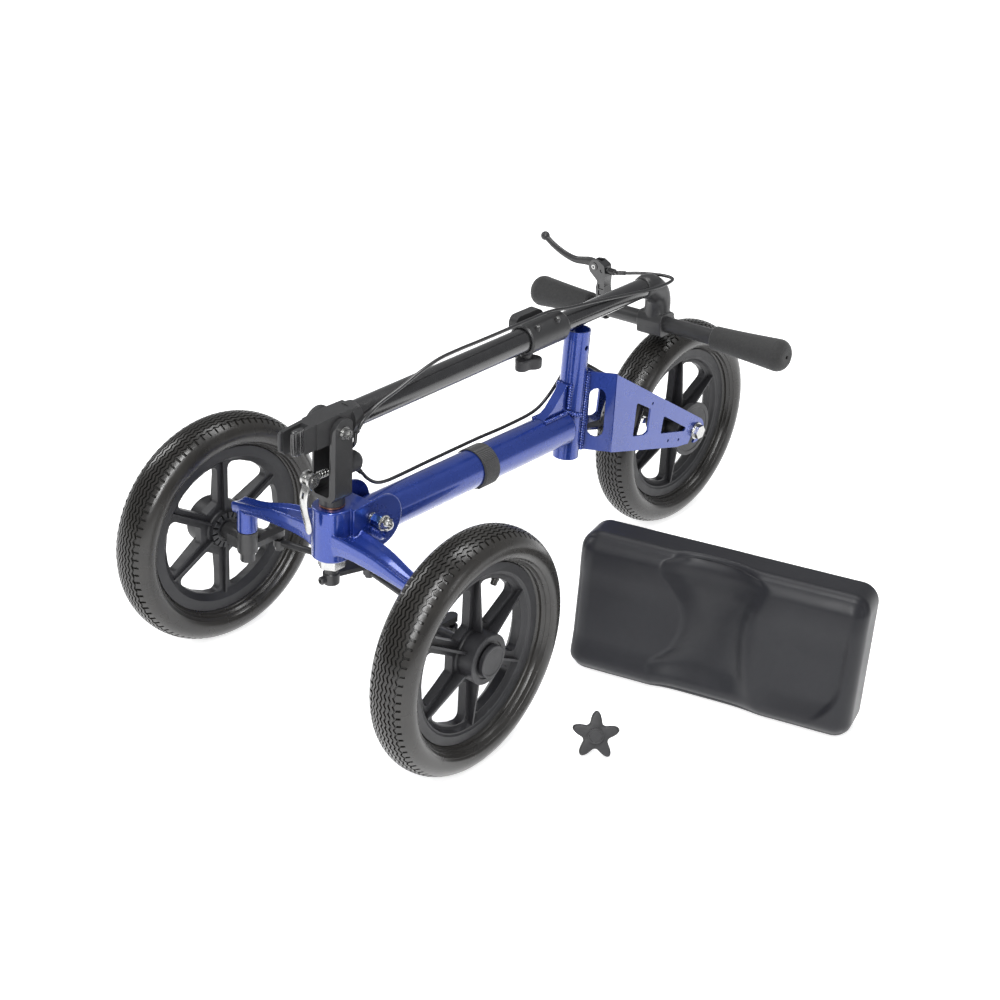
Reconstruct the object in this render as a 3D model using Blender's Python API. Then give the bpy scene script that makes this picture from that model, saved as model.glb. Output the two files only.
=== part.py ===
# Knee walker, folded: two steered front wheels, one braked rear wheel, a folding and
# telescoping steering column, and the knee pad and its star knob standing beside it.
# Metres, +Z up. The front points along -Y and the rider's left is +X.
import math

import bpy
import bmesh
from mathutils import Matrix, Vector

# Where the middle of the whole model stands, counted from the front axle's centre
MIDDLE_X = 0.1361
MIDDLE_Y = 0.3396

# Fits
GAP = 0.0003
BOLT_CLEARANCE = 0.0003
RUNNING_CLEARANCE = 0.0006

# Wheels
WHEEL_RADIUS = 0.1524
TRACK = 0.4200
WHEELBASE = 0.6790
TOE_OUT = math.radians(2.75)
TYRE_HALF_WIDTH = 0.0302
TYRE_CROWN_DEPTH = 0.0213
RIM_EDGE_RADIUS = 0.1130
RIM_HALF_WIDTH = 0.0130
RIM_WELL_HALF_WIDTH = 0.0080
RIM_WELL_DEPTH = 0.0050
RIM_INNER_RADIUS = 0.0985
WEB_RADIUS = 0.0910
WEB_HALF_THICKNESS = 0.0055
SPOKE_COUNT = 6
SPOKE_HALF_WIDTH = 0.0085
SPOKE_RIB_HALF_WIDTH = 0.0016
SPOKE_RIB_HEIGHT = 0.0030
SPOKE_RIB_INNER_ROOT = 0.0110
SPOKE_RIB_OUTER_ROOT = 0.0150
WINDOW_INNER_RADIUS = 0.0380
WINDOW_ROUNDING = 0.0110
HUB_RADIUS = 0.0240
HUB_INNER_LENGTH = 0.0150
HUB_OUTER_LENGTH = 0.0300
HUB_FLANGE_RADIUS = 0.0310
HUB_FLANGE_THICKNESS = 0.0070
HUB_CAP_RADIUS = 0.0200
HUB_CAP_HEIGHT = 0.0060
REAR_HUB_HALF_LENGTH = 0.0270
AXLE_RADIUS = 0.0060

# Head casting and its two arms
STEERING_Y = -0.0120
HEAD_RADIUS = 0.0240
HEAD_BOTTOM = 0.1980
HEAD_TOP = 0.2660
HEAD_EDGE = 0.0025
CHEEK_HALF_WIDTH = 0.0285
CHEEK_FRONT_Y = -0.0040
CHEEK_RADIUS = 0.0340
CHEEK_CENTRE_Y = 0.0445
CHEEK_CENTRE_Z = 0.2340
KINGPIN_INSET = 0.0630
KINGPIN_X = TRACK / 2 - KINGPIN_INSET
KINGPIN_LUG_RADIUS = 0.0130
KINGPIN_LUG_BOTTOM = 0.1750
KINGPIN_LUG_TOP = 0.2130
KINGPIN_RADIUS = 0.0060
ARM_ROOT_X = 0.0100
ARM_END_X = KINGPIN_X + 0.0150

# Frame tubes
MAIN_TUBE_RADIUS = 0.0250
MAIN_TUBE_WALL = 0.0020
MAIN_TUBE_Z = 0.2270
MAIN_TUBE_START = 0.0270
MAIN_TUBE_END = WHEELBASE - 0.2550
MAIN_TUBE_BORE_END = MAIN_TUBE_END - 0.0240
SEAT_TUBE_RADIUS = 0.0175
SEAT_TUBE_WALL = 0.0020
SEAT_TUBE_BOTTOM_Y = WHEELBASE - 0.2455
SEAT_TUBE_BOTTOM_Z = 0.1798
SEAT_TUBE_LENGTH = 0.1829
SEAT_TUBE_LEAN = math.radians(2.5)
SEAT_PIN_HOLE_RADIUS = 0.0035
SEAT_PIN_HOLE_DROP = 0.0225
GUSSET_HALF_WIDTH = 0.0070
STRAP_START_Y = 0.2350
STRAP_WIDTH = 0.0280
STRAP_THICKNESS = 0.0016
STRAP_TAIL_THICKNESS = 0.0014

# Rear fork plates
PLATE_THICKNESS = 0.0030
PLATE_OUTER_X = 0.0460
PLATE_BEND_Y = WHEELBASE - 0.2040
PLATE_TOP_Z = 0.3010
PLATE_BOTTOM_Z = 0.1860
PLATE_END_RADIUS = 0.0190
FLANGE_ROOT_X = 0.0057
FLANGE_ROOT_Y = WHEELBASE - 0.2282
FLANGE_SLOT_X = 0.0250
FLANGE_SLOT_HALF_WIDTH = 0.0112
FLANGE_SLOT_TOP_Z = 0.2780
FLANGE_SLOT_BOTTOM_Z = 0.2060
AXLE_HEAD_RADIUS = 0.0105
AXLE_HEAD_THICKNESS = 0.0070
AXLE_WASHER_RADIUS = 0.0125
AXLE_WASHER_THICKNESS = 0.0015

# Rear brake
DRUM_RADIUS = 0.0360
DRUM_THICKNESS = 0.0080
BACKPLATE_RADIUS = 0.0400
BACKPLATE_THICKNESS = 0.0030
BRAKE_ARM_THICKNESS = 0.0014
BRAKE_ARM_PIVOT_Y = WHEELBASE - 0.0270
BRAKE_ARM_PIVOT_Z = 0.1720
BRAKE_ARM_LENGTH = 0.0300
BRAKE_ARM_ANGLE = math.radians(133)

# Steering stem, clevis and linkage
STEM_RADIUS = 0.0122
STEM_BORE_CLEARANCE = 0.0006
STEM_TAIL_RADIUS = 0.0065
STEM_TAIL_TOP = 0.1850
STEM_BOTTOM = 0.1605
CLEVIS_BASE_RADIUS = 0.0155
HEAD_RING_HEIGHT = 0.0024
CLEVIS_HALF_WIDTH = 0.0190
CLEVIS_ARM_THICKNESS = 0.0062
CLEVIS_FRONT = 0.0180
CLEVIS_BACK = 0.0180
CLEVIS_FORK_BOTTOM = 0.2845
CLEVIS_EAR_RADIUS = 0.0170
CLEVIS_FORK_SLANT = 0.0030
CLEVIS_CHAMFER = 0.0040
CLEVIS_SHOULDER = 0.0100
CLEVIS_FOOT_Z = 0.2790
WEB_THICKNESS = 0.0055
WEB_BOTTOM = 0.2950
WEB_TOP = 0.3440
STEM_NUT_RADIUS = 0.0170
STEM_NUT_THICKNESS = 0.0130
PITMAN_THICKNESS = 0.0060
PITMAN_TOP = 0.1745
PITMAN_HUB_RADIUS = 0.0105
PITMAN_HUB_BOTTOM = 0.1600
LINK_RADIUS_ARM = 0.0540
LINK_INNER_X = 0.0110
LINK_INNER_Z = 0.1600
LINK_OUTER_Z = 0.1370
LINK_EYE_RADIUS = 0.0075
LINK_EYE_HALF_HEIGHT = 0.0045
LINK_ROD_RADIUS = 0.0045
LINK_PIN_RADIUS = 0.0030
LINK_PIN_CLEARANCE = 0.0012

# Knuckles
KNUCKLE_RADIUS = 0.0130
KNUCKLE_BOTTOM = 0.1460
KNUCKLE_BOSS_RADIUS = 0.0095
KNUCKLE_BOSS_BOTTOM = 0.1330
AXLE_TRAIL = 0.0120
KNUCKLE_ARM_TOP = 0.1560
KNUCKLE_ARM_THICKNESS = 0.0080
KNUCKLE_ARM_HALF_WIDTH = 0.0070
STUB_FLANGE_RADIUS = 0.0120

# Fold hinge: its block turns in the clevis
FOLD_PIVOT_Z = 0.3660
BLOCK_HALF_WIDTH = 0.0125
BLOCK_TAIL_HALF_WIDTH = 0.0110
BLOCK_TAIL_LENGTH = 0.0730
BLOCK_TOP = 0.0240
BLOCK_UNDERSIDE = 0.0120
BLOCK_SLOT_HALF_WIDTH = 0.0058
BLOCK_SLOT_RADIUS = 0.0485
SOCKET_START = 0.0200
SOCKET_END = 0.0340
SOCKET_RADIUS = 0.0180
FOLD_BOLT_RADIUS = 0.0040
FOLD_KNOB_RADIUS = 0.0200
FOLD_KNOB_THICKNESS = 0.0100

# Quick release across the clevis
RELEASE_Z = 0.3120
RELEASE_CAM_Y = -0.0480
RELEASE_CAM_RADIUS = 0.0095
RELEASE_HALF_WIDTH = 0.0052
RELEASE_CHEEK_THICKNESS = 0.0024
RELEASE_ROD_RADIUS = 0.0025
RELEASE_SPRING_RADIUS = 0.0042
RELEASE_WIRE_RADIUS = 0.0006
RELEASE_SPRING_START = 0.0120
RELEASE_SPRING_TURNS = 8
RELEASE_SPRING_STEPS = 8
RELEASE_NUT_RADIUS = 0.0130
RELEASE_NUT_END = 0.0310

# Column, measured along its own axis from the fold pivot
COLUMN_TILT = math.radians(1.163)
COLUMN_RISE = 0.0054
LOWER_TUBE_RADIUS = 0.0159
LOWER_TUBE_WALL = 0.0016
LOWER_TUBE_END = 0.4000
COLLAR_START = 0.3370
COLLAR_END = 0.4150
COLLAR_RADIUS = 0.0205
UPPER_TUBE_RADIUS = 0.0135
UPPER_TUBE_WALL = 0.0016
UPPER_TUBE_START = 0.1300
UPPER_TUBE_END = 0.5900
COLLAR_KNOB_RADIUS = 0.0205
COLLAR_KNOB_HEIGHT = 0.0150
COLLAR_KNOB_PLACE = 0.3480

# Stem head and handlebar
BAR_BEYOND_TUBE = 0.0407
BAR_DROP = 0.0424
BAR_PLACE_Y = STEERING_Y + UPPER_TUBE_END + BAR_BEYOND_TUBE
BAR_PLACE_Z = FOLD_PIVOT_Z - BAR_DROP
BAR_RADIUS = 0.0111
BAR_WALL = 0.0016
BAR_HALF_LENGTH = 0.2120
BAR_ROLL = math.radians(3.57)
STEM_CLAMP_RADIUS = 0.0155
STEM_CLAMP_HALF_WIDTH = 0.0200
CLAMP_BOLT_X = 0.0110
CLAMP_BOLT_RISE = 0.0060
CLAMP_BOSS_RADIUS = 0.0052
GRIP_END_RADIUS = 0.0220
GRIP_NECK_RADIUS = 0.0165
GRIP_LEFT_START = 0.1000
GRIP_RIGHT_START = 0.1130
GRIP_END_WALL = 0.0030
GRIP_END_HOLE_RADIUS = 0.0025

# Brake lever, in the handlebar's own directions
BRAKE_CLAMP_X = -0.0910
BRAKE_CLAMP_HALF_WIDTH = 0.0080
BRAKE_CLAMP_RADIUS = 0.0155
BRAKE_PIVOT_X = -0.1030
BRAKE_PIVOT_Z = 0.0600
BRAKE_CHEEK_HALF_WIDTH = 0.0080
BRAKE_LEVER_HALF_WIDTH = 0.0040
BRAKE_LEVER_BALL_RADIUS = 0.0065
ADJUSTER_X = -0.0860
ADJUSTER_LENGTH = 0.0190
ADJUSTER_RADIUS = 0.0042

# Brake cable
CABLE_RADIUS = 0.0023
CABLE_STEP = 0.0140
CABLE_STOP_Z = 0.2100
CABLE_STOP_THICKNESS = 0.0025

# Knee pad, standing on its long edge
PAD_LENGTH = 0.3680
PAD_WIDTH = 0.1900
PAD_THICKNESS = 0.0770
PAD_CORNER_X = 0.1735
PAD_CORNER_Y = 0.2323
PAD_CORNER_Z = 0.0056
PAD_YAW = math.radians(16.7)
PAD_LEAN = math.radians(5.0)
PAD_EDGE = 0.0230
PAD_BACK_EDGE = 0.6
PAD_SADDLE_DEPTH = 0.0260
PAD_BASIN_DEPTH = 0.0080
PAD_BASE_THICKNESS = 0.0060
PAD_BASE_MARGIN = 0.0180

# Star knob, lying on two lobes and its stud's tip
STAR_X = 0.3115
STAR_Y = 0.1215
STAR_Z = 0.0252
STAR_AZIMUTH = math.radians(39)
STAR_TILT = math.radians(29)
STAR_LOBE_COUNT = 5
STAR_MEAN_RADIUS = 0.0225
STAR_LOBE_DEPTH = 0.0068
STAR_LOBE_POWER = 1.4
STAR_THICKNESS = 0.0130
STAR_BOSS_RADIUS = 0.0095
STAR_BOSS_HEIGHT = 0.0050
STAR_STUD_RADIUS = 0.0040
STAR_STUD_LENGTH = 0.0375

WHEEL_SEGMENTS = 30
ROUND_SEGMENTS = 20
TUBE_SEGMENTS = 24
SMALL_SEGMENTS = 12

BLUE = ("frame_blue", (0.012, 0.045, 0.42), 0.28, 0.35)
BLACK_GLOSS = ("black_gloss_paint", (0.012, 0.012, 0.013), 0.22, 0.0)
BLACK_SATIN = ("black_satin_paint", (0.016, 0.016, 0.017), 0.42, 0.0)
BLACK_PLASTIC = ("black_plastic", (0.020, 0.020, 0.022), 0.55, 0.0)
RIM_PLASTIC = ("rim_plastic", (0.026, 0.027, 0.030), 0.50, 0.0)
TYRE_RUBBER = ("tyre_rubber", (0.018, 0.018, 0.018), 0.62, 0.0)
GRIP_FOAM = ("grip_foam", (0.014, 0.014, 0.014), 0.90, 0.0)
STEEL = ("zinc_steel", (0.62, 0.62, 0.60), 0.30, 1.0)
BRASS = ("head_ring_copper", (0.45, 0.22, 0.13), 0.32, 1.0)
WEBBING = ("strap_webbing", (0.012, 0.012, 0.013), 0.95, 0.0)
CABLE_SKIN = ("cable_skin", (0.012, 0.012, 0.012), 0.35, 0.0)
PAD_SKIN = ("pad_skin", (0.022, 0.024, 0.030), 0.48, 0.0)


def clear_objects():
    for obj in list(bpy.data.objects):
        bpy.data.objects.remove(obj, do_unlink=True)


def make_material(finish):
    name, colour, roughness, metallic = finish
    mat = bpy.data.materials.get(name)
    if mat is None:
        mat = bpy.data.materials.new(name)
        mat.use_nodes = True
        shader = mat.node_tree.nodes["Principled BSDF"]
        shader.inputs["Base Color"].default_value = (*colour, 1.0)
        shader.inputs["Roughness"].default_value = roughness
        shader.inputs["Metallic"].default_value = metallic
    return mat


def make_empty(name, parent=None, location=(0, 0, 0), rotation=(0, 0, 0)):
    obj = bpy.data.objects.new(name, None)
    bpy.context.scene.collection.objects.link(obj)
    obj.parent = parent
    obj.location = location
    obj.rotation_euler = rotation
    return obj


def make_object(name, bm, finish, parent, location=(0, 0, 0), rotation=(0, 0, 0), sharp=35):
    bmesh.ops.recalc_face_normals(bm, faces=bm.faces)
    mesh = bpy.data.meshes.new(name)
    bm.to_mesh(mesh)
    bm.free()
    mesh.materials.append(make_material(finish))
    mesh.shade_smooth()
    mesh.set_sharp_from_angle(angle=math.radians(sharp))
    obj = bpy.data.objects.new(name, mesh)
    bpy.context.scene.collection.objects.link(obj)
    obj.parent = parent
    obj.location = location
    obj.rotation_euler = rotation
    return obj


def boolean(obj, operation, bm):
    """Cut a shape out of an object, or join one to it; bm is in the object's own axes."""
    bmesh.ops.recalc_face_normals(bm, faces=bm.faces)
    mesh = bpy.data.meshes.new(obj.name + "_tool")
    bm.to_mesh(mesh)
    bm.free()
    tool = bpy.data.objects.new(obj.name + "_tool", mesh)
    bpy.context.scene.collection.objects.link(tool)
    tool.parent = obj
    boolean_with(obj, operation, tool)


def boolean_with(obj, operation, tool):
    """The same with a tool that is an object already and may have cuts of its own."""
    tool.hide_render = True
    tool.display_type = "WIRE"
    mod = obj.modifiers.new(operation.lower(), "BOOLEAN")
    mod.operation = operation
    mod.solver = "EXACT"
    mod.object = tool


def cut(obj, bm):
    boolean(obj, "DIFFERENCE", bm)


def join(obj, bm):
    boolean(obj, "UNION", bm)


def axis_frame(origin, direction):
    """A matrix whose Z runs along the direction from the origin."""
    turn = Vector((0, 0, 1)).rotation_difference(Vector(direction).normalized())
    return Matrix.Translation(Vector(origin)) @ turn.to_matrix().to_4x4()


def rod(start, end, radius, segments=ROUND_SEGMENTS, end_radius=None, into=None):
    """A round bar between two points."""
    bm = into or bmesh.new()
    start, end = Vector(start), Vector(end)
    frame = axis_frame((start + end) / 2, end - start)
    bmesh.ops.create_cone(bm, cap_ends=True, segments=segments, radius1=radius,
                          radius2=radius if end_radius is None else end_radius,
                          depth=(end - start).length, matrix=frame)
    return bm


def box(low, high, into=None):
    bm = into or bmesh.new()
    low, high = Vector(low), Vector(high)
    middle = (low + high) / 2
    size = high - low
    frame = Matrix.Translation(middle) @ Matrix.Diagonal((*size, 1))
    bmesh.ops.create_cube(bm, size=1.0, matrix=frame)
    return bm


def turned(profile, segments=ROUND_SEGMENTS, origin=(0, 0, 0), direction=(0, 0, 1), into=None):
    """Turn a closed outline of (radius, height) points about an axis."""
    bm = into or bmesh.new()
    frame = axis_frame(origin, direction)
    rings = []
    for radius, height in profile:
        if radius == 0:
            rings.append([bm.verts.new(frame @ Vector((0, 0, height)))])
            continue
        ring = []
        for i in range(segments):
            a = 2 * math.pi * i / segments
            ring.append(bm.verts.new(frame @ Vector((radius * math.cos(a), radius * math.sin(a),
                                                     height))))
        rings.append(ring)
    for first, second in zip(rings, rings[1:] + rings[:1]):
        bridge(bm, first, second)
    return bm


def bridge(bm, first, second):
    if len(first) == 1 and len(second) == 1:
        return
    count = max(len(first), len(second))
    for i in range(count):
        j = (i + 1) % count
        if len(first) == 1:
            bm.faces.new((first[0], second[j], second[i]))
        elif len(second) == 1:
            bm.faces.new((first[i], first[j], second[0]))
        else:
            bm.faces.new((first[i], first[j], second[j], second[i]))


def swept(rings, into=None):
    """Join rings of points, each with as many points, into one closed skin."""
    bm = into or bmesh.new()
    made = [[bm.verts.new(Vector(p)) for p in ring] for ring in rings]
    for first, second in zip(made, made[1:]):
        bridge(bm, first, second)
    bm.faces.new(list(reversed(made[0])))
    bm.faces.new(made[-1])
    return bm


def prism(outline, axis, low, high, into=None):
    """Extrude an outline along X, Y or Z; its points are the other two coordinates."""
    def place(a, b, c):
        return {"X": (c, a, b), "Y": (a, c, b), "Z": (a, b, c)}[axis]
    return swept([[place(a, b, low) for a, b in outline], [place(a, b, high) for a, b in outline]], into)


def arc(cx, cy, radius, start, end, steps):
    """Points on an arc, angles in degrees."""
    points = []
    for i in range(steps + 1):
        a = math.radians(start + (end - start) * i / steps)
        points.append((cx + radius * math.cos(a), cy + radius * math.sin(a)))
    return points


def rounded(points, radii, steps=3):
    """A polygon with each corner rounded by its own radius."""
    out = []
    count = len(points)
    for i in range(count):
        before, here, after = (Vector(points[k % count]) for k in (i - 1, i, i + 1))
        radius = radii[i] if isinstance(radii, (list, tuple)) else radii
        if radius == 0:
            out.append(tuple(here))
            continue
        a, b = (before - here).normalized(), (after - here).normalized()
        half = a.angle(b) / 2
        reach = radius / math.tan(half)
        centre = here + (a + b).normalized() * (radius / math.sin(half))
        start, end = here + a * reach - centre, here + b * reach - centre
        turn = math.atan2(start.x * end.y - start.y * end.x, start.dot(end))
        for k in range(steps + 1):
            t = turn * k / steps
            c, s = math.cos(t), math.sin(t)
            out.append((centre.x + start.x * c - start.y * s, centre.y + start.x * s + start.y * c))
    return out


def hexagon(start, end, radius, into=None):
    return rod(start, end, radius, segments=6, into=into)


def smooth_route(points, step):
    """Points along a smooth curve through the given ones, about one step apart."""
    pts = [Vector(p) for p in points]
    pts = [2 * pts[0] - pts[1]] + pts + [2 * pts[-1] - pts[-2]]
    out = []
    for p0, p1, p2, p3 in zip(pts, pts[1:], pts[2:], pts[3:]):
        count = max(1, round((p2 - p1).length / step))
        for k in range(count):
            t = k / count
            out.append(0.5 * (2 * p1 + (p2 - p0) * t + (2 * p0 - 5 * p1 + 4 * p2 - p3) * t * t
                              + (3 * p1 - p0 - 3 * p2 + p3) * t ** 3))
    out.append(pts[-2])
    return out


def wire(name, points, radius, finish, parent, resolution=2):
    """A round wire or cable through the points, with closed ends."""
    curve = bpy.data.curves.new(name, "CURVE")
    curve.dimensions = "3D"
    curve.bevel_depth = radius
    curve.bevel_resolution = resolution
    curve.use_fill_caps = True
    spline = curve.splines.new("POLY")
    spline.points.add(len(points) - 1)
    for point, place in zip(spline.points, points):
        point.co = (*place, 1.0)
    curve.materials.append(make_material(finish))
    obj = bpy.data.objects.new(name, curve)
    bpy.context.scene.collection.objects.link(obj)
    obj.parent = parent
    return obj


def tyre_outline():
    """Half round crown, straight side walls and a bead in the rim's well, as (radius, offset)."""
    crown = WHEEL_RADIUS - TYRE_CROWN_DEPTH
    points = []
    for i in range(7):
        a = math.radians(-32 + 244 * i / 6)
        points.append((crown + TYRE_CROWN_DEPTH * math.sin(a), TYRE_HALF_WIDTH * math.cos(a)))
    well = RIM_EDGE_RADIUS - RIM_WELL_DEPTH + GAP
    points += [(RIM_EDGE_RADIUS + GAP, -RIM_HALF_WIDTH), (well, -RIM_WELL_HALF_WIDTH + GAP)]
    points += [(well, RIM_WELL_HALF_WIDTH - GAP), (RIM_EDGE_RADIUS + GAP, RIM_HALF_WIDTH)]
    return points


def build_tyre(name, parent):
    make_object(name, turned(tyre_outline(), WHEEL_SEGMENTS, direction=(1, 0, 0)), TYRE_RUBBER, parent)


def rim_outline(hub_inner, hub_outer, flange):
    well = RIM_EDGE_RADIUS - RIM_WELL_DEPTH
    bore = AXLE_RADIUS + BOLT_CLEARANCE
    outline = [(bore, -hub_inner), (HUB_RADIUS, -hub_inner), (HUB_RADIUS, -WEB_HALF_THICKNESS),
               (WEB_RADIUS, -WEB_HALF_THICKNESS), (RIM_INNER_RADIUS, -RIM_HALF_WIDTH),
               (RIM_EDGE_RADIUS, -RIM_HALF_WIDTH), (well, -RIM_WELL_HALF_WIDTH),
               (well, RIM_WELL_HALF_WIDTH), (RIM_EDGE_RADIUS, RIM_HALF_WIDTH),
               (RIM_INNER_RADIUS, RIM_HALF_WIDTH), (WEB_RADIUS, WEB_HALF_THICKNESS),
               (HUB_RADIUS, WEB_HALF_THICKNESS)]
    if flange:
        neck = hub_outer - HUB_FLANGE_THICKNESS
        outline += [(HUB_RADIUS, neck), (HUB_FLANGE_RADIUS, neck), (HUB_FLANGE_RADIUS, hub_outer)]
    else:
        outline += [(HUB_RADIUS, hub_outer)]
    outline.append((bore, hub_outer))
    return outline


def window_outline():
    """One window between two spokes, as (Y, Z) points round the wheel's +Y."""
    half = math.pi / SPOKE_COUNT
    outer = WEB_RADIUS - 2 * GAP
    corners = []
    for radius, side in ((WINDOW_INNER_RADIUS, -1), (outer, -1), (outer, 0), (outer, 1),
                         (WINDOW_INNER_RADIUS, 1)):
        angle = side * (half - math.asin(SPOKE_HALF_WIDTH / radius))
        corners.append((radius * math.cos(angle), radius * math.sin(angle)))
    return rounded(corners, [0, WINDOW_ROUNDING, 0, WINDOW_ROUNDING, 0], 2)


def turn_about_x(bm, angle):
    bmesh.ops.rotate(bm, cent=(0, 0, 0), matrix=Matrix.Rotation(angle, 3, "X"), verts=bm.verts)


def copies_about_x(make, count, offset=0.0):
    """The same shape, repeated round the X axis."""
    whole = bmesh.new()
    for i in range(count):
        piece = make()
        turn_about_x(piece, 2 * math.pi * i / count + offset)
        mesh = bpy.data.meshes.new("piece")
        piece.to_mesh(mesh)
        piece.free()
        whole.from_mesh(mesh)
        bpy.data.meshes.remove(mesh)
    return whole


def rib_outline():
    """The fin down the middle of a spoke on both faces, as (X, Y) points; taller at the hub."""
    root, end = HUB_RADIUS - 0.002, WEB_RADIUS + 0.004
    low = WEB_HALF_THICKNESS + SPOKE_RIB_HEIGHT
    return [(-SPOKE_RIB_INNER_ROOT, root), (SPOKE_RIB_OUTER_ROOT, root), (low, end), (-low, end)]


def build_rim(name, parent, hub_inner, hub_outer, flange=True):
    bm = turned(rim_outline(hub_inner, hub_outer, flange), WHEEL_SEGMENTS, direction=(1, 0, 0))
    obj = make_object(name, bm, RIM_PLASTIC, parent)
    outline = window_outline()
    cut(obj, copies_about_x(lambda: prism(outline, "X", -RIM_HALF_WIDTH, RIM_HALF_WIDTH), SPOKE_COUNT))
    rib = rib_outline()
    half = SPOKE_RIB_HALF_WIDTH
    join(obj, copies_about_x(lambda: prism(rib, "Z", -half, half), SPOKE_COUNT, math.pi / SPOKE_COUNT))
    return obj


def build_hub_cap(name, parent, side):
    face = side * (HUB_OUTER_LENGTH + GAP)
    profile = [(0, 0), (HUB_CAP_RADIUS, 0), (HUB_CAP_RADIUS, HUB_CAP_HEIGHT - 0.0015),
               (HUB_CAP_RADIUS - 0.002, HUB_CAP_HEIGHT), (0, HUB_CAP_HEIGHT + 0.001)]
    bm = turned(profile, ROUND_SEGMENTS, (face, 0, 0), (side, 0, 0))
    make_object(name, bm, BLACK_PLASTIC, parent)


def build_front_wheel(side, knuckle, word):
    hub = make_empty("wheel_axis_" + word, knuckle, (side * (TRACK / 2 - KINGPIN_X), AXLE_TRAIL,
                                                     WHEEL_RADIUS),
                     (0, 0, side * TOE_OUT))
    build_tyre("tyre_front_" + word, hub)
    mirror = make_empty("wheel_side_" + word, hub, rotation=(0, 0, 0 if side > 0 else math.pi))
    build_rim("rim_front_" + word, mirror, HUB_INNER_LENGTH, HUB_OUTER_LENGTH)
    build_hub_cap("hub_cap_" + word, mirror, 1)


def arm_section(x, y0, y1, z0, z1, dip):
    """A five sided section of a front arm: a ridge at the front, a dipped top behind it."""
    return [(x, y0, z0), (x, y0 + 0.001, z1), (x, (y0 + y1) / 2, z1 - dip), (x, y1, z1 - dip / 3),
            (x, y1, z0 + 0.002)]


def arm_skin(side):
    sections = [(ARM_ROOT_X, -0.0300, 0.0120, 0.2060, 0.2370, 0.004),
                (KINGPIN_X * 0.238, -0.0295, 0.0120, 0.2140, 0.2365, 0.005),
                (KINGPIN_X * 0.544, -0.0280, 0.0080, 0.2125, 0.2320, 0.005),
                (KINGPIN_X * 0.850, -0.0255, 0.0020, 0.2060, 0.2200, 0.003),
                (ARM_END_X, -0.0250, 0.0010, 0.1990, KINGPIN_LUG_TOP, 0.001)]
    return swept([arm_section(side * x, *rest) for x, *rest in sections])


def build_head_casting(parent):
    barrel = turned([(0, HEAD_BOTTOM), (HEAD_RADIUS - HEAD_EDGE, HEAD_BOTTOM),
                     (HEAD_RADIUS, HEAD_BOTTOM + HEAD_EDGE),
                     (HEAD_RADIUS, HEAD_TOP - HEAD_EDGE / 2), (HEAD_RADIUS - HEAD_EDGE / 2, HEAD_TOP),
                     (0, HEAD_TOP)],
                    TUBE_SEGMENTS, (0, STEERING_Y, 0))
    obj = make_object("head_casting", barrel, BLUE, parent)
    cheek = [(CHEEK_FRONT_Y, CHEEK_CENTRE_Z - CHEEK_RADIUS), (CHEEK_FRONT_Y, HEAD_TOP - 0.001)]
    cheek += list(reversed(arc(CHEEK_CENTRE_Y, CHEEK_CENTRE_Z, CHEEK_RADIUS, -90, 90, 12)))
    join(obj, prism(cheek, "X", -CHEEK_HALF_WIDTH, CHEEK_HALF_WIDTH))
    inner = MAIN_TUBE_RADIUS + GAP
    cut(obj, box((-inner, MAIN_TUBE_START - GAP, 0.15), (inner, 0.12, 0.30)))
    for side in (1, -1):
        join(obj, arm_skin(side))
        join(obj, rod((side * KINGPIN_X, STEERING_Y, KINGPIN_LUG_BOTTOM),
                      (side * KINGPIN_X, STEERING_Y, KINGPIN_LUG_TOP - 0.002),
                      KINGPIN_LUG_RADIUS))
        cut(obj, rod((side * KINGPIN_X, STEERING_Y, KINGPIN_LUG_BOTTOM - 0.01),
                     (side * KINGPIN_X, STEERING_Y, KINGPIN_LUG_TOP - 0.006),
                     KINGPIN_RADIUS + RUNNING_CLEARANCE, SMALL_SEGMENTS))
    cut(obj, rod((0, STEERING_Y, HEAD_BOTTOM - 0.01), (0, STEERING_Y, HEAD_TOP + 0.01),
                 STEM_RADIUS + STEM_BORE_CLEARANCE))
    return obj


def build_head_ring(parent):
    inner = STEM_RADIUS + STEM_BORE_CLEARANCE
    profile = [(inner, 0), (CLEVIS_BASE_RADIUS, 0), (CLEVIS_BASE_RADIUS, HEAD_RING_HEIGHT),
               (inner, HEAD_RING_HEIGHT)]
    make_object("head_ring", turned(profile, origin=(0, STEERING_Y, HEAD_TOP + GAP)), BRASS, parent)


def build_cheek_bolt(parent):
    """The adjusting bolt that sticks out of the near cheek, with its two sleeves and acorn nut."""
    y, z = 0.0250, 0.2470
    start = CHEEK_HALF_WIDTH + GAP
    profile = [(0, 0), (0.0062, 0), (0.0062, 0.0085), (0.0052, 0.0095), (0.0052, 0.0105),
               (0.0062, 0.0115),
               (0.0062, 0.0210), (0, 0.0210)]
    obj = make_object("cheek_bolt", turned(profile, 20, (start, y, z), (1, 0, 0)), STEEL, parent)
    join(obj, hexagon((start + 0.0205, y, z), (start + 0.0275, y, z), 0.0092))
    join(obj, turned([(0, 0), (0.0072, 0), (0.0062, 0.0035), (0.0035, 0.0060), (0, 0.0068)], 12,
                     (start + 0.0270, y, z), (1, 0, 0)))


def build_cheek_bush(parent):
    """The ribbed bush under the adjusting bolt."""
    profile = [(0, 0), (0.0070, 0)]
    for i in range(4):
        x = 0.0030 + 0.0036 * i
        profile += [(0.0070, x), (0.0082, x + 0.0008), (0.0082, x + 0.0018), (0.0070, x + 0.0026)]
    profile += [(0.0045, 0.0185), (0.0045, 0.0230), (0, 0.0230)]
    bm = turned(profile, 12, (CHEEK_HALF_WIDTH + GAP, 0.0290, 0.2290), (1, 0, 0))
    make_object("cheek_bush", bm, BLACK_PLASTIC, parent)


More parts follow.
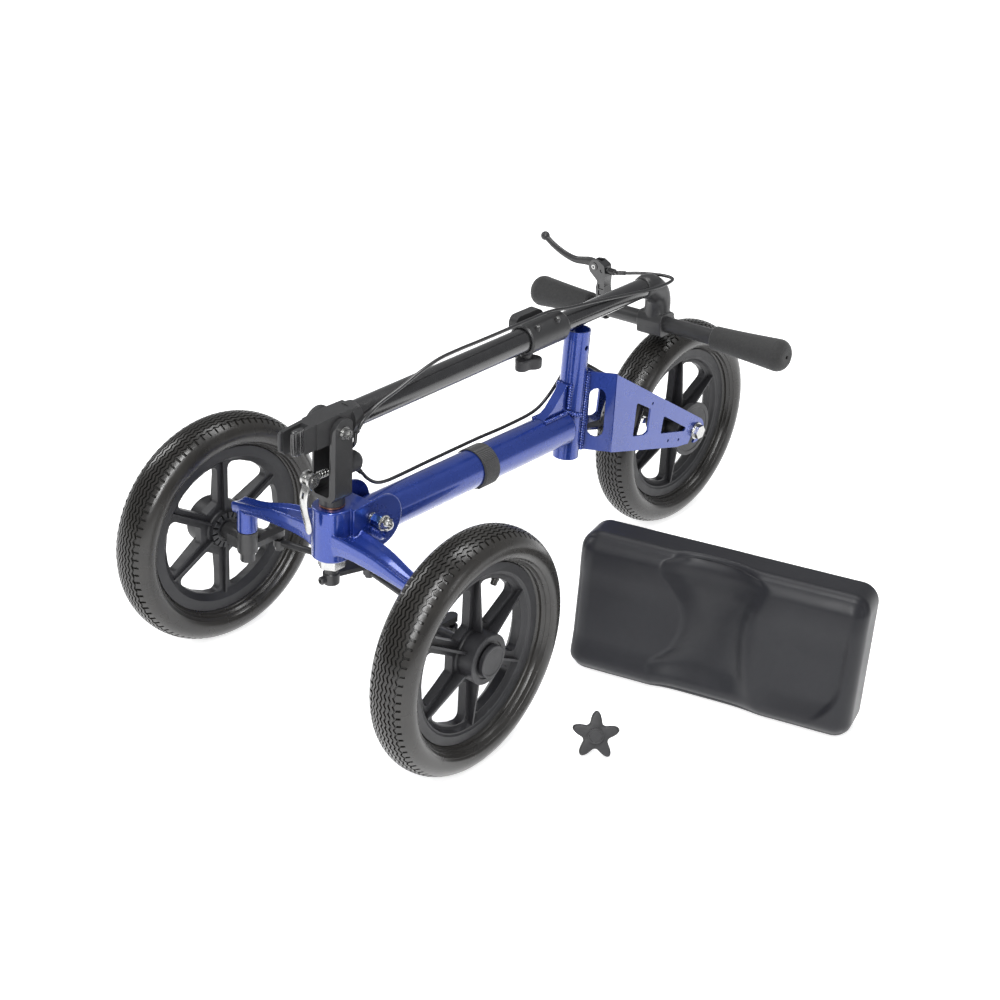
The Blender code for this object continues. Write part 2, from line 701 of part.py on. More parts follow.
def seat_axis(distance):
    """The point on the seat tube's axis at a distance from its lower end."""
    return Vector((0, SEAT_TUBE_BOTTOM_Y - distance * -math.sin(SEAT_TUBE_LEAN),
                   SEAT_TUBE_BOTTOM_Z + distance * math.cos(SEAT_TUBE_LEAN)))


def seat_tube_cutter(clearance):
    return rod(seat_axis(-0.02), seat_axis(SEAT_TUBE_LENGTH + 0.02), SEAT_TUBE_RADIUS + clearance,
               TUBE_SEGMENTS)


def build_main_tube(parent):
    inner = MAIN_TUBE_RADIUS - MAIN_TUBE_WALL
    profile = [(inner, MAIN_TUBE_START), (MAIN_TUBE_RADIUS, MAIN_TUBE_START),
               (MAIN_TUBE_RADIUS, MAIN_TUBE_END - 0.006),
               (MAIN_TUBE_RADIUS - 0.003, MAIN_TUBE_END), (0, MAIN_TUBE_END + 0.001),
               (0, MAIN_TUBE_BORE_END),
               (inner, MAIN_TUBE_BORE_END)]
    obj = make_object("main_tube", turned(profile, TUBE_SEGMENTS, (0, 0, MAIN_TUBE_Z), (0, 1, 0)), BLUE,
                      parent)
    cut(obj, seat_tube_cutter(GAP))


def build_seat_tube(parent):
    inner = SEAT_TUBE_RADIUS - SEAT_TUBE_WALL
    profile = [(inner, 0), (SEAT_TUBE_RADIUS, 0), (SEAT_TUBE_RADIUS, SEAT_TUBE_LENGTH),
               (inner, SEAT_TUBE_LENGTH)]
    bm = turned(profile, TUBE_SEGMENTS, seat_axis(0), seat_axis(1) - seat_axis(0))
    obj = make_object("seat_tube", bm, BLUE, parent)
    hole = seat_axis(SEAT_TUBE_LENGTH - SEAT_PIN_HOLE_DROP)
    cut(obj, rod(hole, hole + Vector((0.04, 0, 0)), SEAT_PIN_HOLE_RADIUS, 12))


def from_axle(points):
    """Side view points whose first number counts from the rear axle."""
    return [(WHEELBASE + y, z) for y, z in points]


def build_gusset(parent):
    foot = MAIN_TUBE_Z + MAIN_TUBE_RADIUS - 0.006
    outline = from_axle([(-0.3100, foot), (-0.3050, 0.2535), (-0.2890, 0.2620), (-0.2710, 0.2800),
                         (-0.2610, 0.2905), (-0.2490, 0.2905), (-0.2490, foot)])
    obj = make_object("seat_gusset", prism(outline, "X", -GUSSET_HALF_WIDTH, GUSSET_HALF_WIDTH), BLUE,
                      parent)
    cut(obj, seat_tube_cutter(GAP))
    cut(obj, rod((0, MAIN_TUBE_END - 0.12, MAIN_TUBE_Z), (0, MAIN_TUBE_END + 0.03, MAIN_TUBE_Z),
                 MAIN_TUBE_RADIUS + GAP, TUBE_SEGMENTS))


def build_strap(parent):
    inner = MAIN_TUBE_RADIUS + GAP
    outer = inner + STRAP_THICKNESS
    profile = [(inner, 0), (outer, 0), (outer, STRAP_WIDTH), (inner, STRAP_WIDTH)]
    obj = make_object("frame_strap", turned(profile, TUBE_SEGMENTS, (0, STRAP_START_Y, MAIN_TUBE_Z),
                                            (0, 1, 0)), WEBBING, parent)
    tail = arc(0, MAIN_TUBE_Z, outer - 0.0004, -60, 35, 8)
    tail += list(reversed(arc(0, MAIN_TUBE_Z, outer + STRAP_TAIL_THICKNESS, -60, 35, 8)))
    join(obj, prism(tail, "Y", STRAP_START_Y + 0.0012, STRAP_START_Y + STRAP_WIDTH - 0.0012))


def plate_outline():
    bottom_y, bottom_z = WHEELBASE - 0.0450, 0.1410
    outline = [(PLATE_BEND_Y, PLATE_BOTTOM_Z), (bottom_y, bottom_z), (bottom_y + 0.018, bottom_z - 0.002)]
    outline += arc(WHEELBASE, WHEEL_RADIUS, PLATE_END_RADIUS, -90, 59, 9)
    return outline + [(PLATE_BEND_Y, PLATE_TOP_Z)]


def build_fork_plate(parent, side, word):
    outer = side * PLATE_OUTER_X
    inner = side * (PLATE_OUTER_X - PLATE_THICKNESS)
    obj = make_object("fork_plate_" + word, prism(plate_outline(), "X", inner, outer), BLUE, parent)
    start = Vector((side * FLANGE_ROOT_X, FLANGE_ROOT_Y))
    end = Vector((outer - side * 0.0003, PLATE_BEND_Y + 0.0008))
    along = (end - start).normalized()
    back = Vector((-along.y, along.x)) * side * PLATE_THICKNESS
    top, bottom = PLATE_TOP_Z - 0.0002, PLATE_BOTTOM_Z + 0.0002
    join(obj, prism([tuple(start), tuple(end), tuple(end + back), tuple(start + back)], "Z", bottom, top))
    cut(obj, seat_tube_cutter(GAP))
    middle = start + along * ((side * FLANGE_SLOT_X - start.x) / along.x)
    cut(obj, flange_slot(middle, along))
    for corners, radius in (([(-0.1530, 0.2440), (-0.1185, 0.2240), (-0.1210, 0.1900), (-0.1295, 0.1880),
                              (-0.1560, 0.1940)], 0.0025),
                            ([(-0.0850, 0.2025), (-0.0250, 0.1646), (-0.0310, 0.1615),
                              (-0.0890, 0.1765)], 0.0022)):
        window = rounded(from_axle(corners), radius, 2)
        cut(obj, prism(window, "X", inner - side * 0.002, outer + side * 0.002))
    holes = bmesh.new()
    for y, z in from_axle([(-0.1150, 0.2310), (-0.0690, 0.1590), (-0.0430, 0.1520)]):
        rod((inner - side * 0.002, y, z), (outer + side * 0.002, y, z), 0.0022, 8, into=holes)
    cut(obj, holes)
    cut(obj, dropout_slot(inner, outer, side))


def flange_slot(middle, along):
    """A tall slot with round ends through the slanted front of a fork plate."""
    half = FLANGE_SLOT_HALF_WIDTH
    outline = arc(0, FLANGE_SLOT_TOP_Z - half, half, 0, 180, 6) + arc(0, FLANGE_SLOT_BOTTOM_Z + half,
                                                                      half, 180, 360, 6)
    through = Vector((-along.y, along.x)) * 0.012
    rings = []
    for sign in (-1, 1):
        rings.append([(middle.x + along.x * a + through.x * sign,
                       middle.y + along.y * a + through.y * sign, z)
                      for a, z in outline])
    return swept(rings)


def dropout_slot(inner, outer, side):
    """The open slot that the rear axle slides into, from below and in front."""
    half = AXLE_RADIUS + BOLT_CLEARANCE
    way = Vector((-0.55, -0.83)).normalized()
    across = Vector((-way.y, way.x)) * half
    centre = Vector((WHEELBASE, WHEEL_RADIUS))
    angle = math.degrees(math.atan2(across.y, across.x))
    mouth = centre + way * 0.030
    outline = arc(centre.x, centre.y, half, angle, angle + 180, 6) + [tuple(mouth - across),
                                                                      tuple(mouth + across)]
    return prism(outline, "X", inner - side * 0.002, outer + side * 0.002)


def build_rear_axle(parent):
    reach = PLATE_OUTER_X + GAP
    bm = rod((-reach - 0.001, WHEELBASE, WHEEL_RADIUS), (reach + 0.001, WHEELBASE, WHEEL_RADIUS),
             AXLE_RADIUS, 20)
    obj = make_object("rear_axle", bm, STEEL, parent)
    for side in (1, -1):
        washer = side * (reach + AXLE_WASHER_THICKNESS)
        join(obj, rod((side * reach, WHEELBASE, WHEEL_RADIUS), (washer, WHEELBASE, WHEEL_RADIUS),
                      AXLE_WASHER_RADIUS, 20))
        head = side * (reach + AXLE_WASHER_THICKNESS + AXLE_HEAD_THICKNESS)
        join(obj, hexagon((washer - side * 0.0003, WHEELBASE, WHEEL_RADIUS),
                          (head, WHEELBASE, WHEEL_RADIUS), AXLE_HEAD_RADIUS))


def sleeve(start, end, outer, inner, origin, direction, segments=ROUND_SEGMENTS):
    return turned([(inner, start), (outer, start), (outer, end), (inner, end)], segments, origin,
                  direction)


def build_rear_wheel(parent):
    hub = make_empty("rear_wheel_axis", parent, (0, WHEELBASE, WHEEL_RADIUS))
    build_tyre("tyre_rear", hub)
    build_rim("rim_rear", hub, REAR_HUB_HALF_LENGTH, REAR_HUB_HALF_LENGTH, flange=False)
    bore = AXLE_RADIUS + BOLT_CLEARANCE
    start = REAR_HUB_HALF_LENGTH + GAP
    bm = sleeve(start, start + DRUM_THICKNESS, DRUM_RADIUS, bore, (0, 0, 0), (1, 0, 0), TUBE_SEGMENTS)
    make_object("brake_drum", bm, BLACK_SATIN, hub)


def build_rear_brake(parent):
    bore = AXLE_RADIUS + BOLT_CLEARANCE
    start = REAR_HUB_HALF_LENGTH + DRUM_THICKNESS + 2 * GAP + RUNNING_CLEARANCE
    origin = (0, WHEELBASE, WHEEL_RADIUS)
    plate = sleeve(start, start + BACKPLATE_THICKNESS, BACKPLATE_RADIUS, bore, origin, (1, 0, 0),
                   ROUND_SEGMENTS)
    obj = make_object("brake_backplate", plate, BLACK_SATIN, parent)
    inner_face = PLATE_OUTER_X - PLATE_THICKNESS - GAP
    join(obj, sleeve(start + 0.0005, inner_face, 0.0110, bore, origin, (1, 0, 0), 20))
    spacer_start = -REAR_HUB_HALF_LENGTH - GAP
    spacer = sleeve(-inner_face, spacer_start, 0.0100, bore, origin, (1, 0, 0), 20)
    make_object("axle_spacer", spacer, STEEL, parent)
    arm_face = start + BACKPLATE_THICKNESS + GAP
    pivot = make_empty("brake_arm_axis", parent, (0, BRAKE_ARM_PIVOT_Y, BRAKE_ARM_PIVOT_Z))
    tip = Vector((BRAKE_ARM_LENGTH * math.cos(BRAKE_ARM_ANGLE),
                  BRAKE_ARM_LENGTH * math.sin(BRAKE_ARM_ANGLE)))
    across = Vector((-tip.y, tip.x)).normalized()
    outline = [tuple(across * 0.006), tuple(tip + across * 0.0045), tuple(tip * 1.12),
               tuple(tip - across * 0.0045),
               tuple(across * -0.006), tuple(tip * -0.2)]
    make_object("brake_arm", prism(outline, "X", arm_face, arm_face + BRAKE_ARM_THICKNESS), STEEL, pivot)


def build_steering(parent):
    build_clevis(parent)
    build_stem_nut(parent)
    build_pitman(parent)
    build_fold_bolt(parent)
    build_release(parent)
    build_middle_cable(parent)


def clevis_outline():
    """The side view of the clevis arms: flat sides with a round top about the fold pivot."""
    outline = [(-CLEVIS_FRONT, CLEVIS_FOOT_Z), (CLEVIS_BACK, CLEVIS_FOOT_Z)]
    return outline + arc(0, FOLD_PIVOT_Z, CLEVIS_EAR_RADIUS, 0, 180, 10)


def clevis_edges():
    """Chamfers along the clevis's four upright edges."""
    bm = bmesh.new()
    depth, past = CLEVIS_CHAMFER, 0.002
    for sx in (1, -1):
        for sy, reach in ((1, CLEVIS_BACK), (-1, CLEVIS_FRONT)):
            x, y = sx * CLEVIS_HALF_WIDTH, sy * reach
            corner = [(x - sx * (depth + past), y + sy * past), (x + sx * past, y - sy * (depth + past)),
                      (x + sx * depth, y + sy * depth)]
            prism(corner, "Z", CLEVIS_FOOT_Z - past, FOLD_PIVOT_Z + CLEVIS_EAR_RADIUS + past, into=bm)
    return bm


def clevis_slopes():
    """The slope under each arm of the clevis, down to its round neck."""
    bm = bmesh.new()
    past = 0.002
    for sx in (1, -1):
        x, side = sx * CLEVIS_BASE_RADIUS, sx * (CLEVIS_HALF_WIDTH + past)
        slope = [(x, CLEVIS_FOOT_Z), (side, CLEVIS_FOOT_Z + CLEVIS_SHOULDER), (side, CLEVIS_FOOT_Z - past),
                 (x, CLEVIS_FOOT_Z - past)]
        prism(slope, "Y", -CLEVIS_FRONT - past, CLEVIS_BACK + past, into=bm)
    return bm


def build_clevis(parent):
    base = HEAD_TOP + HEAD_RING_HEIGHT + 2 * GAP
    profile = [(0, STEM_BOTTOM), (STEM_TAIL_RADIUS, STEM_BOTTOM), (STEM_TAIL_RADIUS, STEM_TAIL_TOP),
               (STEM_RADIUS, STEM_TAIL_TOP), (STEM_RADIUS, base), (CLEVIS_BASE_RADIUS, base),
               (CLEVIS_BASE_RADIUS, base + 0.013), (0, base + 0.013)]
    obj = make_object("clevis", turned(profile, TUBE_SEGMENTS), BLACK_SATIN, parent)
    arms = make_object("clevis_arms", prism(clevis_outline(), "X", -CLEVIS_HALF_WIDTH, CLEVIS_HALF_WIDTH),
                       BLACK_SATIN, parent)
    boolean_with(obj, "UNION", arms)
    cut(arms, clevis_edges())
    cut(arms, clevis_slopes())
    inner = CLEVIS_HALF_WIDTH - CLEVIS_ARM_THICKNESS
    bottom = CLEVIS_FORK_BOTTOM
    slant = CLEVIS_FORK_SLANT
    above = FOLD_PIVOT_Z + CLEVIS_EAR_RADIUS + 0.0350
    gap = [(-inner, bottom + slant), (-inner + slant, bottom), (inner - slant, bottom),
           (inner, bottom + slant), (inner, above), (-inner, above)]
    cut(obj, prism(gap, "Y", -0.05, 0.05))
    back = CLEVIS_BACK
    join(obj, box((-inner - 0.001, back - WEB_THICKNESS, WEB_BOTTOM), (inner + 0.001, back, WEB_TOP)))
    cut(obj, rod((-0.03, 0, FOLD_PIVOT_Z), (0.03, 0, FOLD_PIVOT_Z), FOLD_BOLT_RADIUS + BOLT_CLEARANCE,
                 SMALL_SEGMENTS))
    cut(obj, rod((0, 0, RELEASE_Z), (0, 0.05, RELEASE_Z), RELEASE_ROD_RADIUS + BOLT_CLEARANCE, 12))
    return obj


def build_stem_nut(parent):
    top = HEAD_BOTTOM - GAP
    bottom = top - STEM_NUT_THICKNESS
    obj = make_object("stem_nut", hexagon((0, 0, bottom), (0, 0, top), STEM_NUT_RADIUS), STEEL, parent)
    cut(obj, rod((0, 0, bottom - 0.01), (0, 0, top + 0.01), STEM_RADIUS + BOLT_CLEARANCE))


def build_pitman(parent):
    """The arm clamped on the stem's foot; its rear end carries both tie rods."""
    top, bottom = PITMAN_TOP, PITMAN_TOP - PITMAN_THICKNESS
    bore, edge = STEM_TAIL_RADIUS + BOLT_CLEARANCE, 0.0015
    hub_top = HEAD_BOTTOM - STEM_NUT_THICKNESS - 2 * GAP
    profile = [(bore, PITMAN_HUB_BOTTOM), (PITMAN_HUB_RADIUS - edge, PITMAN_HUB_BOTTOM),
               (PITMAN_HUB_RADIUS, PITMAN_HUB_BOTTOM + edge), (PITMAN_HUB_RADIUS, top),
               (PITMAN_HUB_RADIUS - edge, top + edge), (PITMAN_HUB_RADIUS - edge, hub_top),
               (bore, hub_top)]
    obj = make_object("pitman_arm", turned(profile, ROUND_SEGMENTS), BLACK_SATIN, parent)
    half = LINK_INNER_X + 0.0080
    reach = LINK_RADIUS_ARM
    outline = [(-0.0070, 0.0080), (0.0070, 0.0080), (half, reach - 0.010)] + arc(LINK_INNER_X, reach,
                                                                                 0.0080, 0, 90, 3)
    outline += arc(-LINK_INNER_X, reach, 0.0080, 90, 180, 3) + [(-half, reach - 0.010)]
    join(obj, prism(outline, "Z", bottom, top))
    lobe = turned([(0, 0), (0.0052, 0), (0.0052, 0.0060), (0.0044, 0.0070), (0.0024, 0.0070),
                   (0.0024, 0.0050),
                   (0, 0.0050)], 12, (-0.0015, -0.0088, (top + PITMAN_HUB_BOTTOM) / 2), (-0.2, -1, 0))
    join(obj, lobe)
    low = LINK_INNER_Z - LINK_EYE_HALF_HEIGHT - 0.0006
    for side in (1, -1):
        x = side * LINK_INNER_X
        join(obj, rod((x, reach, low - 0.002), (x, reach, bottom + 0.001), LINK_PIN_RADIUS, 12))
        join(obj, hexagon((x, reach, low - 0.003), (x, reach, low), 0.0058))


def build_fold_bolt(parent):
    """The bolt that the column folds on, with a round knob on its far end."""
    far = -CLEVIS_HALF_WIDTH - GAP
    near = CLEVIS_HALF_WIDTH + GAP
    bm = rod((far - 0.001, 0, FOLD_PIVOT_Z), (near + 0.001, 0, FOLD_PIVOT_Z), FOLD_BOLT_RADIUS,
             SMALL_SEGMENTS)
    obj = make_object("fold_bolt", bm, STEEL, parent)
    join(obj, turned([(0, 0), (0.0085, 0), (0.0085, 0.0015), (0.0062, 0.0015), (0.0062, 0.0070),
                      (0.0035, 0.0070), (0.0035, 0.0040), (0, 0.0040)],
                     SMALL_SEGMENTS, (near, 0, FOLD_PIVOT_Z), (1, 0, 0)))
    profile = [(0, 0), (FOLD_KNOB_RADIUS - 0.003, 0), (FOLD_KNOB_RADIUS, 0.003),
               (FOLD_KNOB_RADIUS, 0.006),
               (FOLD_KNOB_RADIUS - 0.004, FOLD_KNOB_THICKNESS), (0, FOLD_KNOB_THICKNESS + 0.0015)]
    bm = turned(profile, ROUND_SEGMENTS, (far, 0, FOLD_PIVOT_Z), (-1, 0, 0))
    knob = make_object("fold_knob", bm, BLACK_PLASTIC, parent)
    cut(knob, rod((far + 0.01, 0, FOLD_PIVOT_Z), (far - 0.0013, 0, FOLD_PIVOT_Z),
                  FOLD_BOLT_RADIUS + BOLT_CLEARANCE, SMALL_SEGMENTS))


def spring_points():
    """The quick release spring: a plain helix round its rod, from the cam to the web."""
    start = RELEASE_CAM_Y - STEERING_Y + RELEASE_SPRING_START
    end = CLEVIS_BACK - WEB_THICKNESS - RELEASE_WIRE_RADIUS - GAP
    count = RELEASE_SPRING_TURNS * RELEASE_SPRING_STEPS
    points = []
    for i in range(count + 1):
        a = 2 * math.pi * RELEASE_SPRING_TURNS * i / count
        points.append(Vector((RELEASE_SPRING_RADIUS * math.cos(a), start + (end - start) * i / count,
                              RELEASE_Z + RELEASE_SPRING_RADIUS * math.sin(a))))
    return points


def least_gap(points, per_turn, radius):
    """The least space between a coil's wire and its own next turns."""
    least = min((p - q).length for i, p in enumerate(points) for q in points[i + per_turn // 2:])
    return least - 2 * radius


def build_release(parent):
    """The quick release: rod, spring, round nut, and the cam lever on its own pivot."""
    cam = RELEASE_CAM_Y - STEERING_Y
    web = CLEVIS_BACK + GAP
    cheek = RELEASE_HALF_WIDTH - RELEASE_CHEEK_THICKNESS - GAP
    bm = rod((0, cam, RELEASE_Z), (0, web + 0.010, RELEASE_Z), RELEASE_ROD_RADIUS, 12)
    obj = make_object("release_rod", bm, STEEL, parent)
    join(obj, rod((-cheek, cam, RELEASE_Z), (cheek, cam, RELEASE_Z), 0.0045, 14))
    points = spring_points()
    print("release spring least gap mm", round(1000 * least_gap(points, RELEASE_SPRING_STEPS,
                                                                RELEASE_WIRE_RADIUS), 3))
    wire("release_spring", points, RELEASE_WIRE_RADIUS, STEEL, parent, 1)
    end = RELEASE_NUT_END - STEERING_Y
    profile = [(0, web), (RELEASE_NUT_RADIUS, web), (RELEASE_NUT_RADIUS, end - 0.006),
               (RELEASE_NUT_RADIUS - 0.004, end - 0.001),
               (0, end)]
    nut = make_object("release_nut", turned(profile, ROUND_SEGMENTS, (0, 0, RELEASE_Z), (0, 1, 0)),
                      BLACK_PLASTIC, parent)
    cut(nut, rod((0, 0, RELEASE_Z), (0, web + 0.011, RELEASE_Z), RELEASE_ROD_RADIUS + BOLT_CLEARANCE, 12))
    build_release_lever(make_empty("release_axis", parent, (0, cam, RELEASE_Z)))


def build_release_lever(parent):
    """Two cam cheeks on the rod's barrel, and a curved blade hanging below them."""
    half = RELEASE_HALF_WIDTH
    spine = [(-0.0040, -0.0070, 0.0042), (-0.0080, -0.0160, 0.0034), (-0.0090, -0.0290, 0.0028),
             (-0.0060, -0.0440, 0.0028),
             (-0.0020, -0.0600, 0.0030), (-0.0010, -0.0680, 0.0020)]
    rings = []
    for (y0, z0, t0), (y1, z1, _) in zip(spine, spine[1:] + [(-0.0005, -0.0720, 0)]):
        across = Vector((z0 - z1, y1 - y0)).normalized() * t0
        rings.append([(-half, y0 - across.x, z0 - across.y), (-half, y0 + across.x, z0 + across.y),
                      (half, y0 + across.x, z0 + across.y), (half, y0 - across.x, z0 - across.y)])
    obj = make_object("release_lever", swept(rings), STEEL, parent)
    for side in (1, -1):
        low = side * (half - RELEASE_CHEEK_THICKNESS)
        join(obj, rod((low, 0, 0), (side * half, 0, 0), RELEASE_CAM_RADIUS, 20))


def build_tie_rod(name, pivot, side):
    """A rod with a flat eye at each end, from the pitman arm down to the knuckle's arm."""
    length = KINGPIN_X - LINK_INNER_X
    drop = LINK_OUTER_Z - LINK_INNER_Z
    hole = LINK_PIN_RADIUS + LINK_PIN_CLEARANCE
    thick = LINK_EYE_HALF_HEIGHT
    start = Vector((side * (LINK_EYE_RADIUS - 0.001), 0, drop * 0.05))
    end = Vector((side * (length - LINK_EYE_RADIUS + 0.001), 0, drop * 0.95))
    obj = make_object(name, rod(start, end, LINK_ROD_RADIUS, 12), BLACK_SATIN, pivot)
    for x, z in ((0, 0), (side * length, drop)):
        join(obj, rod((x, 0, z - thick), (x, 0, z + thick), LINK_EYE_RADIUS, 16))
        cut(obj, rod((x, 0, z - 0.02), (x, 0, z + 0.02), hole, 12))


def build_knuckle(name, parent, side):
    """Kingpin, block, stub axle and rearward steering arm in one forging."""
    top = KINGPIN_LUG_BOTTOM - GAP
    pin_top = KINGPIN_LUG_TOP - 0.0065
    profile = [(0, KNUCKLE_BOSS_BOTTOM), (KNUCKLE_BOSS_RADIUS, KNUCKLE_BOSS_BOTTOM),
               (KNUCKLE_BOSS_RADIUS, KNUCKLE_BOTTOM),
               (KNUCKLE_RADIUS, KNUCKLE_BOTTOM), (KNUCKLE_RADIUS, top), (KINGPIN_RADIUS, top),
               (KINGPIN_RADIUS, pin_top), (0, pin_top)]
    obj = make_object(name, turned(profile, 16), BLACK_SATIN, parent)
    centre = Vector((side * (TRACK / 2 - KINGPIN_X), AXLE_TRAIL, WHEEL_RADIUS))
    axis = Vector((side * math.cos(TOE_OUT), math.sin(TOE_OUT), 0))
    face = centre - axis * (HUB_INNER_LENGTH + GAP)
    join(obj, box((min(0, side * 0.030), -0.007, KNUCKLE_BOTTOM + 0.0003),
                  (max(0, side * 0.030), 0.0205, WHEEL_RADIUS + 0.0090)))
    join(obj, rod(centre - axis * 0.045, face, STUB_FLANGE_RADIUS, 20))
    join(obj, rod(face - axis * 0.002, centre + axis * (HUB_OUTER_LENGTH - 0.001), AXLE_RADIUS - 0.0001,
                  20))
    low = KNUCKLE_ARM_TOP - KNUCKLE_ARM_THICKNESS
    arm = [(-KNUCKLE_ARM_HALF_WIDTH, 0.004), (KNUCKLE_ARM_HALF_WIDTH, 0.004)]
    arm += arc(0, LINK_RADIUS_ARM, KNUCKLE_ARM_HALF_WIDTH, 0, 180, 6)
    join(obj, prism(arm, "Z", low, KNUCKLE_ARM_TOP))
    join(obj, rod((0, LINK_RADIUS_ARM, LINK_OUTER_Z - 0.010), (0, LINK_RADIUS_ARM, low + 0.001),
                  LINK_PIN_RADIUS, 12))
    join(obj, hexagon((0, LINK_RADIUS_ARM, LINK_OUTER_Z - 0.010),
                      (0, LINK_RADIUS_ARM, LINK_OUTER_Z - LINK_EYE_HALF_HEIGHT - 0.0006), 0.0060))


def build_hinge_block(parent):
    """The block that turns in the clevis: a slotted tail in front, the tube's socket behind."""
    top, under = BLOCK_TOP, -BLOCK_UNDERSIDE
    outline = [(-BLOCK_TAIL_LENGTH, under + 0.003), (-BLOCK_TAIL_LENGTH + 0.003, under),
               (-0.010, under), (0.0180, -0.0175),
               (0.0320, -0.0130), (0.0320, top - 0.005), (0.0280, top - 0.002),
               (-BLOCK_TAIL_LENGTH + 0.006, top), (-BLOCK_TAIL_LENGTH, top - 0.006)]
    obj = make_object("hinge_block", prism(outline, "X", -BLOCK_HALF_WIDTH, BLOCK_HALF_WIDTH),
                      BLACK_SATIN, parent)
    join(obj, rod((0, SOCKET_START, COLUMN_RISE), (0, SOCKET_END, COLUMN_RISE), SOCKET_RADIUS,
                  TUBE_SEGMENTS))
    join(obj, rod((0, SOCKET_END - 0.002, COLUMN_RISE), (0, SOCKET_END + 0.030, COLUMN_RISE),
                  LOWER_TUBE_RADIUS - LOWER_TUBE_WALL - GAP, 24))
    recess = bmesh.new()
    for side in (1, -1):
        low, high = sorted((side * BLOCK_TAIL_HALF_WIDTH, side * 0.020))
        box((low, -BLOCK_TAIL_LENGTH - 0.007, -0.03), (high, -0.0365, 0.040), into=recess)
    cut(obj, recess)
    half = BLOCK_SLOT_HALF_WIDTH
    reach = BLOCK_TAIL_LENGTH + 0.01
    slot = [(-reach, -0.04), (-math.sqrt(BLOCK_SLOT_RADIUS ** 2 - 0.03 ** 2), -0.03)]
    slot += [(-BLOCK_SLOT_RADIUS * math.cos(math.radians(a)),
              BLOCK_SLOT_RADIUS * math.sin(math.radians(a))) for a in range(-30, 46, 15)]
    slot += [(-reach, 0.04)]
    cut(obj, prism(slot, "X", -half, half))
    cut(obj, rod((-0.03, 0, 0), (0.03, 0, 0), FOLD_BOLT_RADIUS + RUNNING_CLEARANCE / 2, SMALL_SEGMENTS))
    build_block_pad(parent)
    build_block_bumper(parent)


def build_block_pad(parent):
    """The ribbed rubber pad let into the near side of the tail."""
    face = BLOCK_TAIL_HALF_WIDTH + GAP
    depth = BLOCK_HALF_WIDTH - face - 0.0004
    bm = box((face, -0.0700, -0.0080), (face + depth, -0.0480, 0.0180))
    obj = make_object("block_pad", bm, BLACK_PLASTIC, parent)
    ribs = bmesh.new()
    for i in range(4):
        z = -0.0045 + 0.0058 * i
        box((face + depth - 0.0006, -0.0690, z), (face + depth + 0.01, -0.0490, z + 0.0024), into=ribs)
    cut(obj, ribs)


def build_block_bumper(parent):
    """The rubber bumper on the far prong's front end."""
    start = -BLOCK_TAIL_LENGTH - GAP
    outline = rounded([(-0.0108, -0.0080), (-0.0062, -0.0080), (-0.0062, 0.0170), (-0.0108, 0.0170)],
                      0.0018, 2)
    small = rounded([(-0.0100, -0.0060), (-0.0070, -0.0060), (-0.0070, 0.0150), (-0.0100, 0.0150)],
                    0.0012, 2)
    rings = [[(x, start, z) for x, z in outline], [(x, start - 0.0025, z) for x, z in outline],
             [(x, start - 0.0040, z) for x, z in small]]
    make_object("block_bumper", swept(rings), BLACK_PLASTIC, parent)


def tube(name, start, end, radius, wall, finish, parent, segments=TUBE_SEGMENTS):
    bm = sleeve(start, end, radius, radius - wall, (0, 0, COLUMN_RISE), (0, 1, 0), segments)
    return make_object(name, bm, finish, parent)


def build_collar(parent):
    """The clamp round the two tubes, with its round far ear."""
    outer = LOWER_TUBE_RADIUS + GAP
    slide = UPPER_TUBE_RADIUS + RUNNING_CLEARANCE / 2
    stop = LOWER_TUBE_END + GAP
    profile = [(outer, COLLAR_START), (COLLAR_RADIUS - 0.002, COLLAR_START),
               (COLLAR_RADIUS, COLLAR_START + 0.002),
               (COLLAR_RADIUS, COLLAR_END - 0.006), (COLLAR_RADIUS - 0.003, COLLAR_END),
               (slide, COLLAR_END), (slide, stop), (outer, stop)]
    bm = turned(profile, TUBE_SEGMENTS, (0, 0, COLUMN_RISE), (0, 1, 0))
    obj = make_object("tube_collar", bm, BLACK_SATIN, parent)
    low, high = COLLAR_START + 0.0080, COLLAR_END - 0.0120
    ear = rounded([(low, 0.010), (low, 0.0290), (high - 0.0070, 0.0290), (high, 0.010)],
                  [0.002, 0.014, 0.014, 0.002], 4)
    join(obj, prism(ear, "X", -0.0290, -0.0165))
    hole = COLLAR_START + 0.0330
    cut(obj, rod((-0.04, hole, 0.0200), (-0.0215, hole, 0.0200), 0.0032, 12))
    join(obj, rod((0, COLLAR_KNOB_PLACE, COLUMN_RISE - COLLAR_RADIUS + 0.003),
                  (0, COLLAR_KNOB_PLACE, COLUMN_RISE - COLLAR_RADIUS - 0.0045),
                  0.0085, 16))
    bolt = LOWER_TUBE_RADIUS + GAP
    cut(obj, rod((0, COLLAR_KNOB_PLACE, COLUMN_RISE - bolt + 0.006),
                 (0, COLLAR_KNOB_PLACE, COLUMN_RISE - bolt - 0.02),
                 0.0030 + BOLT_CLEARANCE, 12))


def lobed(count, mean, depth, turn=0.0, steps=6, power=1.0):
    """An outline that swells and shrinks round a circle; a higher power makes narrower lobes."""
    points = []
    total = count * steps
    for i in range(total):
        a = 2 * math.pi * i / total
        radius = mean + depth * (2 * ((1 + math.cos(count * a)) / 2) ** power - 1)
        points.append((radius * math.cos(a + turn), radius * math.sin(a + turn)))
    return points


